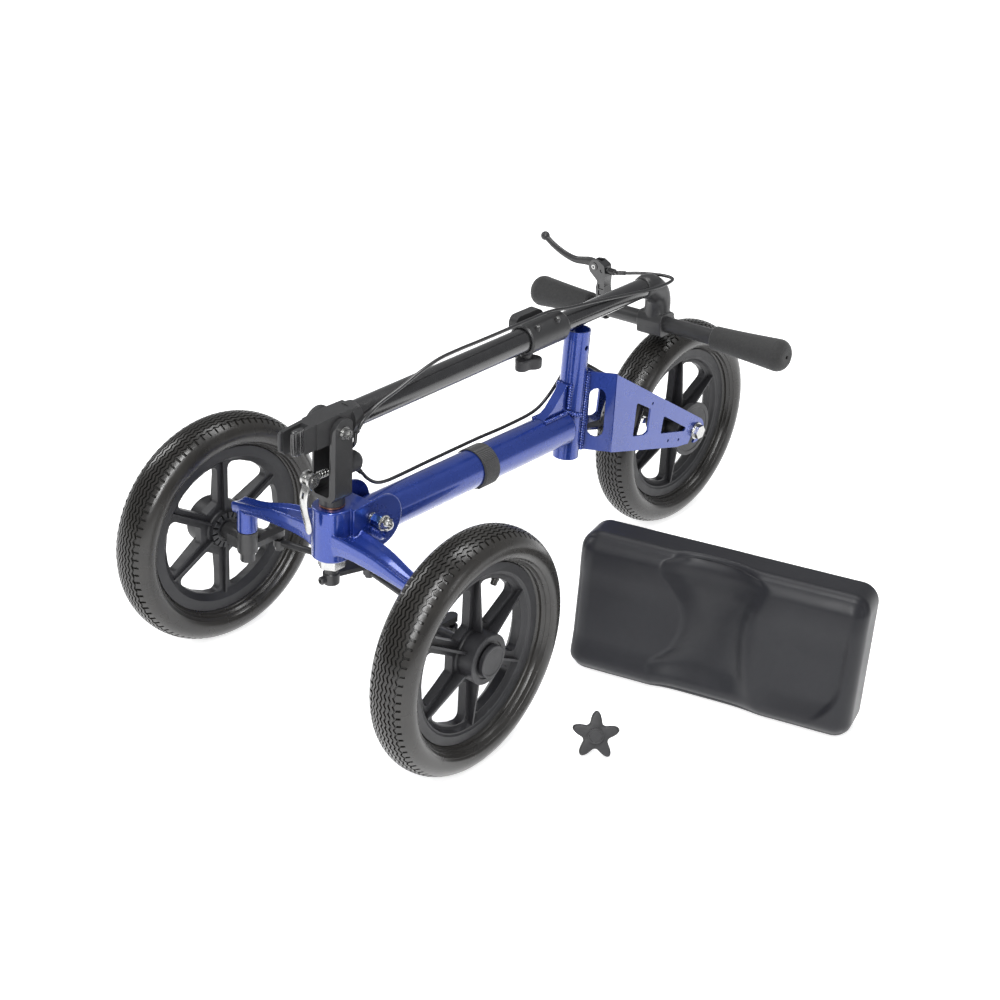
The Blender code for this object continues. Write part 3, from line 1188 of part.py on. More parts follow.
def build_collar_knob(parent):
    """The three lobed knob whose screw clamps the collar from below."""
    top = COLUMN_RISE - COLLAR_RADIUS - 0.0045 - GAP
    mean = COLLAR_KNOB_RADIUS - 0.0045
    rings = []
    for z, shrink in ((top, 0.70), (top - 0.003, 1.0), (top - COLLAR_KNOB_HEIGHT + 0.003, 1.0),
                      (top - COLLAR_KNOB_HEIGHT, 0.85)):
        rings.append([(x * shrink, y * shrink, z) for x, y in lobed(3, mean, 0.0045, math.radians(40))])
    knob = make_empty("collar_knob_axis", parent, (0, COLLAR_KNOB_PLACE, 0))
    obj = make_object("collar_knob", swept(rings), BLACK_PLASTIC, knob)
    join(obj, rod((0, 0, top - 0.001), (0, 0, COLUMN_RISE - LOWER_TUBE_RADIUS - 2 * GAP), 0.0030, 12))


def stem_head_rings():
    """The curved head that turns from the tube's end down onto the handlebar."""
    bar = bar_place()
    path = [(UPPER_TUBE_END + GAP, COLUMN_RISE, 90, 0.0150, 0.0150),
            (UPPER_TUBE_END + 0.010, COLUMN_RISE + 0.0005, 88, 0.0165, 0.0165),
            (UPPER_TUBE_END + 0.0220, 0.0015, 62, 0.0175, 0.0175),
            (UPPER_TUBE_END + 0.0360, -0.0100, 35, 0.0180, 0.0175),
            (bar.y + 0.0015, -0.0260, 8, 0.0185, 0.0165),
            (bar.y, bar.z + 0.0060, 0, 0.0190, 0.0155)]
    rings = []
    for y, z, lean, half_x, half_y in path:
        a = math.radians(lean)
        across = Vector((0, math.cos(a), math.sin(a)))
        ring = []
        for k in range(16):
            t = 2 * math.pi * k / 16
            ring.append(Vector((half_x * math.cos(t), y, z)) + across * (half_y * math.sin(t)))
        rings.append(ring)
    return rings


def bar_place():
    """The handlebar's centre in the column's own axes."""
    offset = Vector((0, BAR_PLACE_Y - STEERING_Y, BAR_PLACE_Z - FOLD_PIVOT_Z))
    return Matrix.Rotation(-COLUMN_TILT, 3, "X") @ offset


def bar_turn():
    return Matrix.Rotation(-BAR_ROLL, 3, "Y")


def build_stem_head(parent):
    obj = make_object("stem_head", swept(stem_head_rings()), BLACK_SATIN, parent)
    bar = bar_place()
    along = bar_turn() @ Vector((1, 0, 0))
    join(obj, rod(bar - along * STEM_CLAMP_HALF_WIDTH, bar + along * STEM_CLAMP_HALF_WIDTH,
                  STEM_CLAMP_RADIUS, 24))
    cut(obj, rod(bar - along * 0.05, bar + along * 0.05, BAR_RADIUS + GAP, 24))
    spigot = UPPER_TUBE_RADIUS - UPPER_TUBE_WALL - GAP
    join(obj, rod((0, UPPER_TUBE_END - 0.025, COLUMN_RISE), (0, UPPER_TUBE_END + 0.006, COLUMN_RISE),
                  spigot, 20))
    bosses = bmesh.new()
    for side in (1, -1):
        seat = clamp_bolt_seat(side)
        rod(seat - Vector((0, 0.0045, 0)), seat, CLAMP_BOSS_RADIUS, 16, into=bosses)
    join(obj, bosses)


def clamp_bolt_seat(side):
    """The middle of the face that a clamp bolt's head sits on."""
    bar = bar_place()
    x = side * CLAMP_BOLT_X
    return Vector((x, bar.y + STEM_CLAMP_RADIUS + 0.0023,
                   bar.z + CLAMP_BOLT_RISE + x * math.sin(BAR_ROLL)))


def build_clamp_bolts(parent):
    """The two socket bolts that close the clamp round the bar."""
    for word, side in (("near", 1), ("far", -1)):
        profile = [(0, 0), (0.0042, 0), (0.0042, 0.0050), (0.0022, 0.0050), (0.0022, 0.0030), (0, 0.0030)]
        origin = clamp_bolt_seat(side) + Vector((0, GAP, 0))
        make_object("clamp_bolt_" + word, turned(profile, 12, origin, (0, 1, 0)), STEEL, parent)


def build_handlebar(parent):
    inner = BAR_RADIUS - BAR_WALL
    bm = sleeve(-BAR_HALF_LENGTH, BAR_HALF_LENGTH, BAR_RADIUS, inner, (0, 0, 0), (1, 0, 0), 24)
    make_object("handlebar", bm, BLACK_SATIN, parent)
    build_grip("grip_left", parent, 1, GRIP_LEFT_START)
    build_grip("grip_right", parent, -1, GRIP_RIGHT_START)


def build_grip(name, parent, side, start):
    inner = BAR_RADIUS + GAP
    end = BAR_HALF_LENGTH + GAP
    tip = end + GRIP_END_WALL
    profile = [(inner, start), (GRIP_NECK_RADIUS - 0.0015, start), (GRIP_NECK_RADIUS, start + 0.0015)]
    for i in range(1, 4):
        t = i / 3
        profile.append((GRIP_NECK_RADIUS + (GRIP_END_RADIUS - GRIP_NECK_RADIUS) * t ** 1.3,
                        start + (tip - 0.014 - start) * t))
    for angle in (30, 60):
        a = math.radians(angle)
        profile.append((GRIP_END_RADIUS - 0.013 * (1 - math.cos(a)), tip - 0.014 + 0.014 * math.sin(a)))
    profile += [(GRIP_END_HOLE_RADIUS + 0.006, tip), (GRIP_END_HOLE_RADIUS, tip),
                (GRIP_END_HOLE_RADIUS, end), (inner, end)]
    make_object(name, turned(profile, ROUND_SEGMENTS, direction=(side, 0, 0)), GRIP_FOAM, parent)


def build_brake_bracket(parent):
    """The clamp on the bar, the post that rises from it, and the two cheeks at its top."""
    half = BRAKE_CLAMP_HALF_WIDTH
    bm = sleeve(BRAKE_CLAMP_X - half, BRAKE_CLAMP_X + half, BRAKE_CLAMP_RADIUS, BAR_RADIUS + GAP,
                (0, 0, 0), (1, 0, 0), 20)
    obj = make_object("brake_bracket", bm, BLACK_SATIN, parent)
    outline = rounded([(-0.1000, 0.0135), (-0.1000, 0.0400), (-0.1120, 0.0560), (-0.1080, 0.0680),
                       (-0.0930, 0.0690), (-0.0840, 0.0640),
                       (-0.0820, 0.0480), (-0.0820, 0.0135)], 0.003, 2)
    join(obj, prism(outline, "Y", -BRAKE_CHEEK_HALF_WIDTH, BRAKE_CHEEK_HALF_WIDTH))
    lever = BRAKE_LEVER_HALF_WIDTH + GAP
    slot = [(-0.1300, 0.0460), (-0.0935, 0.0460), (-0.0935, 0.0800), (-0.1300, 0.0800)]
    cut(obj, prism(slot, "Y", -lever, lever))
    pin = rod((BRAKE_PIVOT_X, -BRAKE_CHEEK_HALF_WIDTH - 0.001, BRAKE_PIVOT_Z),
              (BRAKE_PIVOT_X, BRAKE_CHEEK_HALF_WIDTH + 0.001, BRAKE_PIVOT_Z),
              0.0025, 12)
    join(obj, pin)
    end = ADJUSTER_X + ADJUSTER_LENGTH
    profile = [(0, ADJUSTER_X), (ADJUSTER_RADIUS, ADJUSTER_X), (ADJUSTER_RADIUS, end - 0.005),
               (0.0032, end - 0.0045), (0.0032, end), (0, end)]
    adjuster = turned(profile, 12, (0, 0, 0.0560), (1, 0, 0))
    join(obj, adjuster)


def build_brake_lever(parent):
    """The lever blade: a hub in the bracket's slot, a bent blade and a ball end."""
    pivot = make_empty("brake_lever_axis", parent, (BRAKE_PIVOT_X, 0, BRAKE_PIVOT_Z))
    half = BRAKE_LEVER_HALF_WIDTH
    spine = [(0.0015, 0.0010, 0.0065), (-0.0120, 0.0000, 0.0060), (-0.0260, 0.0000, 0.0046),
             (-0.0420, 0.0045, 0.0040), (-0.0620, 0.0125, 0.0036),
             (-0.0800, 0.0190, 0.0036), (-0.0950, 0.0240, 0.0036)]
    rings = []
    for i, (x, z, t) in enumerate(spine):
        x0, z0, _ = spine[max(i - 1, 0)]
        x1, z1, _ = spine[min(i + 1, len(spine) - 1)]
        across = Vector((z0 - z1, x1 - x0)).normalized() * t
        rings.append([(x - across.x, -half, z - across.y), (x - across.x, half, z - across.y),
                      (x + across.x, half, z + across.y),
                      (x + across.x, -half, z + across.y)])
    obj = make_object("brake_lever", swept(rings), BLACK_SATIN, pivot)
    tip = spine[-1]
    ball = bmesh.new()
    bmesh.ops.create_uvsphere(ball, u_segments=12, v_segments=8, radius=BRAKE_LEVER_BALL_RADIUS,
                              matrix=Matrix.Translation((tip[0], 0, tip[1])))
    join(obj, ball)
    cut(obj, rod((0, -0.02, 0), (0, 0.02, 0), 0.0025 + GAP, 12))


def build_upper_cable(parent):
    """The cable from the lever, looped over the stem and along the column to the hinge."""
    route = [(-0.0699, 0.6187, 0.3756), (-0.0560, 0.6188, 0.3790), (-0.0290, 0.6185, 0.3866),
             (0.0060, 0.6180, 0.3935),
             (0.0255, 0.6130, 0.3950), (0.0270, 0.5950, 0.3925), (0.0240, 0.5700, 0.3915),
             (0.0185, 0.5330, 0.3930),
             (0.0140, 0.4920, 0.3960), (0.0100, 0.4500, 0.3992), (0.0075, 0.4120, 0.4020),
             (0.0055, 0.3740, 0.4068),
             (0.0058, 0.3330, 0.4070), (0.0060, 0.2850, 0.4060), (0.0085, 0.2330, 0.4068),
             (0.0100, 0.1945, 0.4075),
             (0.0120, 0.1560, 0.4070), (0.0145, 0.1185, 0.4012), (0.0165, 0.0820, 0.3920),
             (0.0185, 0.0460, 0.3845),
             (0.0208, 0.0250, 0.3775), (0.0213, 0.0135, 0.3705), (0.0203, 0.0105, 0.3640)]
    back = column_inverse()
    points = smooth_route([back @ Vector(p) for p in route], CABLE_STEP)
    wire("brake_cable_upper", points, CABLE_RADIUS, CABLE_SKIN, parent)


def build_middle_cable(parent):
    """The short length behind the clevis, round the far side of the quick release's nut."""
    route = [(0.0172, 0.0086, 0.3592), (0.0168, 0.0086, 0.3520), (0.0155, 0.0086, 0.3445),
             (0.0080, 0.0100, 0.3365),
             (-0.0040, 0.0122, 0.3325), (-0.0120, 0.0150, 0.3260), (-0.0175, 0.0220, 0.3140),
             (-0.0180, 0.0310, 0.3010),
             (-0.0150, 0.0390, 0.2930)]
    points = smooth_route([Vector(p) - Vector((0, STEERING_Y, 0)) for p in route], CABLE_STEP)
    wire("brake_cable_middle", points, CABLE_RADIUS, CABLE_SKIN, parent)


def column_inverse():
    """From the frame's directions and origin to the column's own."""
    place = Matrix.Translation((0, STEERING_Y, FOLD_PIVOT_Z)) @ Matrix.Rotation(COLUMN_TILT, 4, "X")
    return place.inverted()


def build_lower_cable(parent):
    """The cable from the head along the main tube, past the seat tube to the rear brake."""
    route = [(-0.0142, 0.0410, 0.2910), (-0.0100, 0.0490, 0.2825), (-0.0090, 0.0560, 0.2740),
             (-0.0090, 0.0700, 0.2635), (-0.0110, 0.0900, 0.2570), (-0.0170, 0.1250, 0.2520),
             (-0.0217, 0.1800, 0.2495)]
    behind = [(-0.0230, -0.4090, 0.2495), (-0.0200, -0.3490, 0.2510), (-0.0165, -0.2990, 0.2570),
              (-0.0200, -0.2640, 0.2690), (-0.0215, -0.2370, 0.2900), (-0.0200, -0.2260, 0.3010),
              (-0.0160, -0.2190, 0.3050), (-0.0080, -0.2125, 0.3040), (0.0000, -0.2040, 0.2985),
              (0.0060, -0.1830, 0.2840), (0.0160, -0.1650, 0.2725), (0.0270, -0.1450, 0.2600),
              (0.0350, -0.1230, 0.2450), (0.0372, -0.0940, 0.2250), (0.0369, -0.0640, 0.2055),
              (0.0369, -0.0500, 0.1955)]
    route += [(x, WHEELBASE + y, z) for x, y, z in behind]
    points = smooth_route(route, CABLE_STEP)
    wire("brake_cable_lower", points, CABLE_RADIUS, CABLE_SKIN, parent)


def build_cable_stop(parent):
    """The bracket behind the seat tube and the adjuster on its end, seen through the fork's slot."""
    low, high = CABLE_STOP_Z, CABLE_STOP_Z + CABLE_STOP_THICKNESS
    lean = math.tan(SEAT_TUBE_LEAN) * (high - SEAT_TUBE_BOTTOM_Z)
    front = SEAT_TUBE_BOTTOM_Y + lean + SEAT_TUBE_RADIUS + 2 * GAP
    eye = WHEELBASE - 0.1790
    outline = [(0.0032, front), (0.0032, eye - 0.0340), (0.0150, eye - 0.0140)]
    outline += arc(0.0100, eye, 0.0065, 0, 180, 5)
    outline += [(-0.0032, eye - 0.0280), (-0.0032, front)]
    obj = make_object("cable_stop", prism(outline, "Z", low, high), BRASS, parent)
    profile = [(0, 0), (0.0045, 0), (0.0045, 0.0080), (0.0030, 0.0090), (0.0030, 0.0160), (0, 0.0160)]
    join(obj, turned(profile, 12, (0.0095, eye - 0.0015, low + 0.0005), (0.25, 0.35, 0.9)))


def pad_point(u, v, w):
    """A point of the knee pad's skin; u runs along, v up and w from face to back, each 0 to 1."""
    edge = PAD_EDGE
    x, y, z = u * PAD_LENGTH, w * PAD_THICKNESS, v * PAD_WIDTH
    back_edge = edge * PAD_BACK_EDGE
    depth = back_edge if y > PAD_THICKNESS / 2 else edge
    inner = Vector((min(max(x, edge), PAD_LENGTH - edge), min(max(y, edge), PAD_THICKNESS - back_edge),
                    min(max(z, edge), PAD_WIDTH - edge)))
    out = Vector((x, y, z)) - inner
    reach = Vector((out.x / edge, out.y / depth, out.z / edge))
    longest = max(abs(reach.x), abs(reach.y), abs(reach.z))
    if longest > 0:
        unit = reach.normalized() * longest
        out = Vector((unit.x * edge, unit.y * depth, unit.z * edge))
    point = inner + out
    point.y += pad_hollow(u, v) * (1 - w) ** 2
    return point


def smooth_step(value):
    t = min(max(value, 0.0), 1.0)
    return t * t * (3 - 2 * t)


def pad_hollow(u, v):
    """How far the face sinks: a saddle across the middle and a shallow basin on each side."""
    middle = 0.52 + 0.02 * math.sin(math.pi * v)
    half = 0.130 + 0.030 * abs(2 * v - 1) ** 2
    saddle = 1 - smooth_step((abs(u - middle) - half * 0.35) / (half * 0.9))
    basin = 0.0
    for centre in (0.20, 0.83):
        spread = ((u - centre) / 0.16) ** 2 + ((v - 0.5) / 0.42) ** 2
        basin += math.exp(-spread * 1.2)
    return PAD_SADDLE_DEPTH * saddle + PAD_BASIN_DEPTH * basin


def build_knee_pad(parent):
    """The cushion: a rounded block with its saddle, made as six gridded faces welded at their edges."""
    bm = bmesh.new()
    steps = {"u": 20, "v": 10, "w": 4}
    seen = {}

    def vertex(i, j, k):
        key = (i, j, k)
        if key not in seen:
            seen[key] = bm.verts.new(pad_point(spread(i, steps["u"]), spread(j, steps["v"]),
                                               spread(k, steps["w"])))
        return seen[key]

    nu, nv, nw = steps["u"], steps["v"], steps["w"]
    for i in range(nu):
        for j in range(nv):
            for k in (0, nw):
                bm.faces.new([vertex(i, j, k), vertex(i + 1, j, k), vertex(i + 1, j + 1, k),
                              vertex(i, j + 1, k)])
    for i in range(nu):
        for k in range(nw):
            for j in (0, nv):
                bm.faces.new([vertex(i, j, k), vertex(i + 1, j, k), vertex(i + 1, j, k + 1),
                              vertex(i, j, k + 1)])
    for j in range(nv):
        for k in range(nw):
            for i in (0, nu):
                bm.faces.new([vertex(i, j, k), vertex(i, j + 1, k), vertex(i, j + 1, k + 1),
                              vertex(i, j, k + 1)])
    obj = make_object("knee_pad", bm, PAD_SKIN, parent, sharp=60)
    margin = PAD_BASE_MARGIN - GAP
    depth = PAD_THICKNESS - PAD_BASE_THICKNESS - GAP
    cut(obj, box((margin, depth, margin), (PAD_LENGTH - margin, PAD_THICKNESS + 0.01,
                                           PAD_WIDTH - margin)))
    build_pad_base(parent)


def spread(index, count):
    """Grid places, closer together near both ends where the pad is rounded."""
    t = index / count
    return t - 0.10 * math.sin(2 * math.pi * t) / (2 * math.pi) * 3


def build_pad_base(parent):
    """The board let into the pad's back, with the socket that the seat post screws to."""
    m = PAD_BASE_MARGIN
    face = PAD_THICKNESS - PAD_BASE_THICKNESS
    bm = box((m, face, m), (PAD_LENGTH - m, PAD_THICKNESS, PAD_WIDTH - m))
    obj = make_object("pad_base", bm, BLACK_PLASTIC, parent)
    cut(obj, rod((PAD_LENGTH / 2, face + 0.001, PAD_WIDTH / 2),
                 (PAD_LENGTH / 2, PAD_THICKNESS + 0.02, PAD_WIDTH / 2), 0.0160))


def build_star_knob(parent):
    """The five lobed knob, its round boss and its stud, along the knob's own Z."""
    half = STAR_THICKNESS / 2
    turn = math.pi / 2
    rings = []
    for z, shrink in ((-half, 0.90), (-half + 0.003, 1.0), (half - 0.004, 1.0), (half - 0.001, 0.93),
                      (half, 0.84)):
        outline = lobed(STAR_LOBE_COUNT, STAR_MEAN_RADIUS, STAR_LOBE_DEPTH, turn, 8, STAR_LOBE_POWER)
        rings.append([(x * shrink, y * shrink, z) for x, y in outline])
    obj = make_object("star_knob", swept(rings), BLACK_PLASTIC, parent)
    profile = [(0, half - 0.002), (STAR_BOSS_RADIUS, half - 0.002),
               (STAR_BOSS_RADIUS, half + STAR_BOSS_HEIGHT - 0.001),
               (STAR_BOSS_RADIUS - 0.001, half + STAR_BOSS_HEIGHT), (0, half + STAR_BOSS_HEIGHT)]
    join(obj, turned(profile, 20))
    cut(obj, rod((0, 0, -0.03), (0, 0, -0.001), STAR_STUD_RADIUS + GAP, SMALL_SEGMENTS))
    start = -0.001 - GAP
    stud = rod((0, 0, start), (0, 0, -half - STAR_STUD_LENGTH), STAR_STUD_RADIUS, SMALL_SEGMENTS)
    make_object("star_knob_stud", stud, STEEL, parent)


def build_frame(parent):
    build_head_casting(parent)
    build_head_ring(parent)
    build_cheek_bolt(parent)
    build_cheek_bush(parent)
    build_main_tube(parent)
    build_seat_tube(parent)
    build_gusset(parent)
    build_strap(parent)
    for side, word in ((1, "left"), (-1, "right")):
        build_fork_plate(parent, side, word)
    build_rear_axle(parent)
    build_rear_wheel(parent)
    build_rear_brake(parent)
    build_cable_stop(parent)
    build_lower_cable(parent)


def build_column(parent):
    build_hinge_block(parent)
    tube("lower_tube", SOCKET_END + GAP, LOWER_TUBE_END, LOWER_TUBE_RADIUS, LOWER_TUBE_WALL,
         BLACK_GLOSS, parent)
    build_collar(parent)
    build_collar_knob(parent)
    tube("upper_tube", UPPER_TUBE_START, UPPER_TUBE_END, UPPER_TUBE_RADIUS, UPPER_TUBE_WALL,
         BLACK_GLOSS, parent)
    build_stem_head(parent)
    build_clamp_bolts(parent)
    bar = make_empty("handlebar_axis", parent, bar_place(), (0, -BAR_ROLL, 0))
    build_handlebar(bar)
    build_brake_bracket(bar)
    build_brake_lever(bar)
    build_upper_cable(parent)


def main():
    clear_objects()
    walker = make_empty("walker", None, (-MIDDLE_X, -MIDDLE_Y, 0))
    build_frame(walker)
    steering = make_empty("steering_axis", walker, (0, STEERING_Y, 0))
    build_steering(steering)
    for side, word in ((1, "left"), (-1, "right")):
        link = make_empty("tie_rod_axis_" + word, steering, (side * LINK_INNER_X, LINK_RADIUS_ARM,
                                                             LINK_INNER_Z))
        build_tie_rod("tie_rod_" + word, link, side)
        kingpin = make_empty("kingpin_" + word, walker, (side * KINGPIN_X, STEERING_Y, 0))
        build_knuckle("knuckle_" + word, kingpin, side)
        build_front_wheel(side, kingpin, word)
    fold = make_empty("fold_axis", steering, (0, 0, FOLD_PIVOT_Z), (COLUMN_TILT, 0, 0))
    build_column(fold)
    pad = make_empty("pad_place", walker, (PAD_CORNER_X, PAD_CORNER_Y, PAD_CORNER_Z),
                     (-PAD_LEAN, 0, PAD_YAW))
    build_knee_pad(pad)
    turn = (math.pi / 2 - STAR_TILT, 0, STAR_AZIMUTH)
    build_star_knob(make_empty("star_knob_place", walker, (STAR_X, STAR_Y, STAR_Z), turn))


main()
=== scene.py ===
# Looks for the knee walker: camera, light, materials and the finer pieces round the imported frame.
from math import asin, atan2, cos, exp, log1p, pi, radians, sin, sqrt, tan

import bmesh
import bpy
from mathutils import Matrix, Vector, noise


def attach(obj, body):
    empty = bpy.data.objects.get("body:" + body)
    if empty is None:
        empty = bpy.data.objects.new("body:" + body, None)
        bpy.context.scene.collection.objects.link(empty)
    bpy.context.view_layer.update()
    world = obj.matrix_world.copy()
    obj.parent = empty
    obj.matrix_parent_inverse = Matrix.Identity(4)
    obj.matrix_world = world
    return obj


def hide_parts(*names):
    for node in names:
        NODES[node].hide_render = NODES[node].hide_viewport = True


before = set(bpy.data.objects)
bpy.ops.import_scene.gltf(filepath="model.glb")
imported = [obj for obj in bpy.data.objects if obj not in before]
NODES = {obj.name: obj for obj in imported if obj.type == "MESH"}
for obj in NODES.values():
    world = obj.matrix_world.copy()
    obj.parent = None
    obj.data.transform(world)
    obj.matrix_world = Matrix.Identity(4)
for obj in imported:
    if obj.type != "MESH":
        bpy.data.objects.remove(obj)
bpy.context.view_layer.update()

# The vehicle's own origin, under the front axle's middle, in the row frame
ORIGIN = Vector((-0.1361, -0.3396, 0.0))

# The steering axis, the quick release's rod and the fold's pivot, in millimetres
STEER_Y = -12
RELEASE_Z = 312
FOLD_Z = 366

# Camera
LENS = 68.355
CAMERA_PLACE = (1.26423, -1.75538, 1.30507)
CAMERA_AZIMUTH = 0.6847365
CAMERA_ELEVATION = 0.4774566
CAMERA_ROLL = 0.0551908

# Each light's name, place, target, size and power
LIGHTS = (
    ("key", (0.72, -1.5, 1.9), (0, -0.1, 0.15), (0.3, 2.3), 52),
    ("overhead", (-0.1, 0.6, 2.5), (0, 0, 0.2), (1.8, 0.6), 26),
    ("side", (2.3, 0.3, 1.2), (0, 0, 0.2), (0.3, 0.8), 4),
    ("left", (-2.2, -0.5, 1.5), (0, 0, 0.2), (0.4, 1.2), 14),
)
WORLD_COLOUR = (0.97, 0.98, 1.0, 1.0)
WORLD_STRENGTH = 0.34
FLOOR_COLOUR = (0.92, 0.92, 0.92, 1)
FLOOR_GLOW = 0.72
FLOOR_SIZE = 200
FLOOR_DROP = 0.0004


def at(x, y, z):
    """A point of the vehicle, in millimetres, as a row-frame point in metres."""
    return ORIGIN + Vector((x, y, z)) / 1000


def move(x, y, z):
    return Matrix.Translation(at(x, y, z))


def shift(x, y, z):
    return Matrix.Translation((x, y, z))


def turn(angle, axis):
    return Matrix.Rotation(angle, 4, axis)


# Camera, floor and light

def add_camera():
    """The photograph's viewpoint."""
    az, el, roll = CAMERA_AZIMUTH, CAMERA_ELEVATION, CAMERA_ROLL
    back = Vector((sin(az) * cos(el), -cos(az) * cos(el), sin(el)))
    right = Vector((cos(az), sin(az), 0))
    up = back.cross(right)
    side = right * cos(roll) + up * sin(roll)
    top = up * cos(roll) - right * sin(roll)
    data = bpy.data.cameras.new("camera")
    data.lens = LENS
    data.sensor_width = 36
    data.clip_end = 100
    obj = new_object("camera", data)
    columns = (side, top, back, Vector(CAMERA_PLACE))
    obj.matrix_world = Matrix([[*(c[i] for c in columns)] for i in range(3)] + [[0, 0, 0, 1]])
    bpy.context.scene.camera = obj


def add_light(name, place, target, size, power):
    data = bpy.data.lights.new(name, "AREA")
    data.shape = "RECTANGLE"
    data.size, data.size_y = size
    data.energy = power
    obj = new_object(name, data)
    obj.location = place
    obj.rotation_euler = (Vector(target) - Vector(place)).to_track_quat("-Z", "Y").to_euler()


def add_studio():
    scene = bpy.context.scene
    scene.view_settings.view_transform = "Standard"
    scene.view_settings.look = "None"
    world = bpy.data.worlds.new("studio")
    scene.world = world
    world.use_nodes = True
    shade = world.node_tree.nodes["Background"]
    shade.inputs["Color"].default_value = WORLD_COLOUR
    shade.inputs["Strength"].default_value = WORLD_STRENGTH
    for light in LIGHTS:
        add_light(*light)
    bm = bmesh.new()
    bmesh.ops.create_grid(bm, x_segments=1, y_segments=1, size=FLOOR_SIZE)
    mesh = bpy.data.meshes.new("floor")
    bm.to_mesh(mesh)
    bm.free()
    mat = bpy.data.materials.new("floor")
    mat.use_nodes = True
    tree = mat.node_tree
    shader = tree.nodes["Principled BSDF"]
    shader.inputs["Base Color"].default_value = FLOOR_COLOUR
    shader.inputs["Roughness"].default_value = 0.9
    shader.inputs["Emission Color"].default_value = (1, 1, 1, 1)
    shader.inputs["Emission Strength"].default_value = FLOOR_GLOW
    mesh.materials.append(mat)
    obj = new_object("floor", mesh)
    obj.location = (0, 0, -FLOOR_DROP)


# Materials

class Look:
    """A Principled material and the nodes that give it colour, roughness and relief."""

    def __init__(self, name, colour, rough, metallic=0.0, **sockets):
        self.mat = bpy.data.materials.new(name)
        self.mat.use_nodes = True
        self.tree = self.mat.node_tree
        self.shader = self.tree.nodes["Principled BSDF"]
        self.set("Base Color", (*colour, 1.0))
        self.set("Roughness", rough)
        self.set("Metallic", metallic)
        for key, value in sockets.items():
            self.set(key.replace("_", " "), value)
        self.coords = self.node("TexCoord").outputs["Object"]
        self.colour = tuple(colour)
        self.rough = rough
        self.normal = None

    def set(self, socket, value):
        self.shader.inputs[socket].default_value = value

    def node(self, kind, **settings):
        made = self.tree.nodes.new("ShaderNode" + kind)
        for key, value in settings.items():
            setattr(made, key, value)
        return made

    def link(self, out, into):
        self.tree.links.new(out, into)

    def filled(self, kind, **numbers):
        """A node with numbers on its inputs."""
        made = self.node(kind)
        for key, number in numbers.items():
            made.inputs[key.replace("_", " ")].default_value = number
        return made

    def noise(self, scale, detail=3.0, roughness=0.5):
        made = self.filled("TexNoise", Scale=scale, Detail=detail, Roughness=roughness)
        self.link(self.coords, made.inputs["Vector"])
        return made.outputs["Fac"]

    def cells(self, scale):
        made = self.filled("TexVoronoi", Scale=scale)
        self.link(self.coords, made.inputs["Vector"])
        return made.outputs["Distance"]

    def ramp(self, value, low, high, out_low, out_high):
        made = self.filled("MapRange", From_Min=low, From_Max=high, To_Min=out_low, To_Max=out_high)
        self.link(value, made.inputs["Value"])
        return made.outputs["Result"]

    def tint(self, factor, colour):
        """Mix another colour in by a factor."""
        made = self.node("Mix", data_type="RGBA")
        sockets = [s for s in made.inputs if s.type == "RGBA"]
        base = self.shader.inputs["Base Color"]
        if base.is_linked:
            self.link(base.links[0].from_socket, sockets[0])
        else:
            sockets[0].default_value = (*self.colour, 1.0)
        sockets[1].default_value = (*colour, 1.0)
        self.link(factor, made.inputs["Factor"])
        self.link([s for s in made.outputs if s.type == "RGBA"][0], base)
        return self

    def mottle(self, scale, colour, low, high, amount):
        """Patches of another colour."""
        return self.tint(self.ramp(self.noise(scale, 4.0, 0.6), low, high, 0.0, amount), colour)

    def uneven(self, scale, spread):
        """Roughness that wanders round its mean."""
        wander = self.noise(scale, 3.0, 0.6)
        value = self.ramp(wander, 0.3, 0.7, self.rough - spread, self.rough + spread)
        self.link(value, self.shader.inputs["Roughness"])
        return self

    def relief(self, height, strength, distance):
        """A bump on top of those that the look already has."""
        made = self.filled("Bump", Strength=strength, Distance=distance)
        self.link(height, made.inputs["Height"])
        if self.normal is not None:
            self.link(self.normal, made.inputs["Normal"])
        self.normal = made.outputs["Normal"]
        self.link(self.normal, self.shader.inputs["Normal"])
        return self

    def edges(self, colour, low, high, amount):
        """Lighter colour on edges, from how sharply the surface bends outwards: partly wear, partly a
        painted highlight.
        """
        made = self.node("NewGeometry")
        return self.tint(self.ramp(made.outputs["Pointiness"], low, high, 0.0, amount), colour)

    def painted_crease_shade(self, colour, distance, amount):
        """Painted shade: a darker colour mixed in where ambient occlusion finds inside corners."""
        made = self.filled("AmbientOcclusion", Distance=distance)
        made.samples = 4
        return self.tint(self.ramp(made.outputs["AO"], 0.35, 0.9, amount, 0.0), colour)


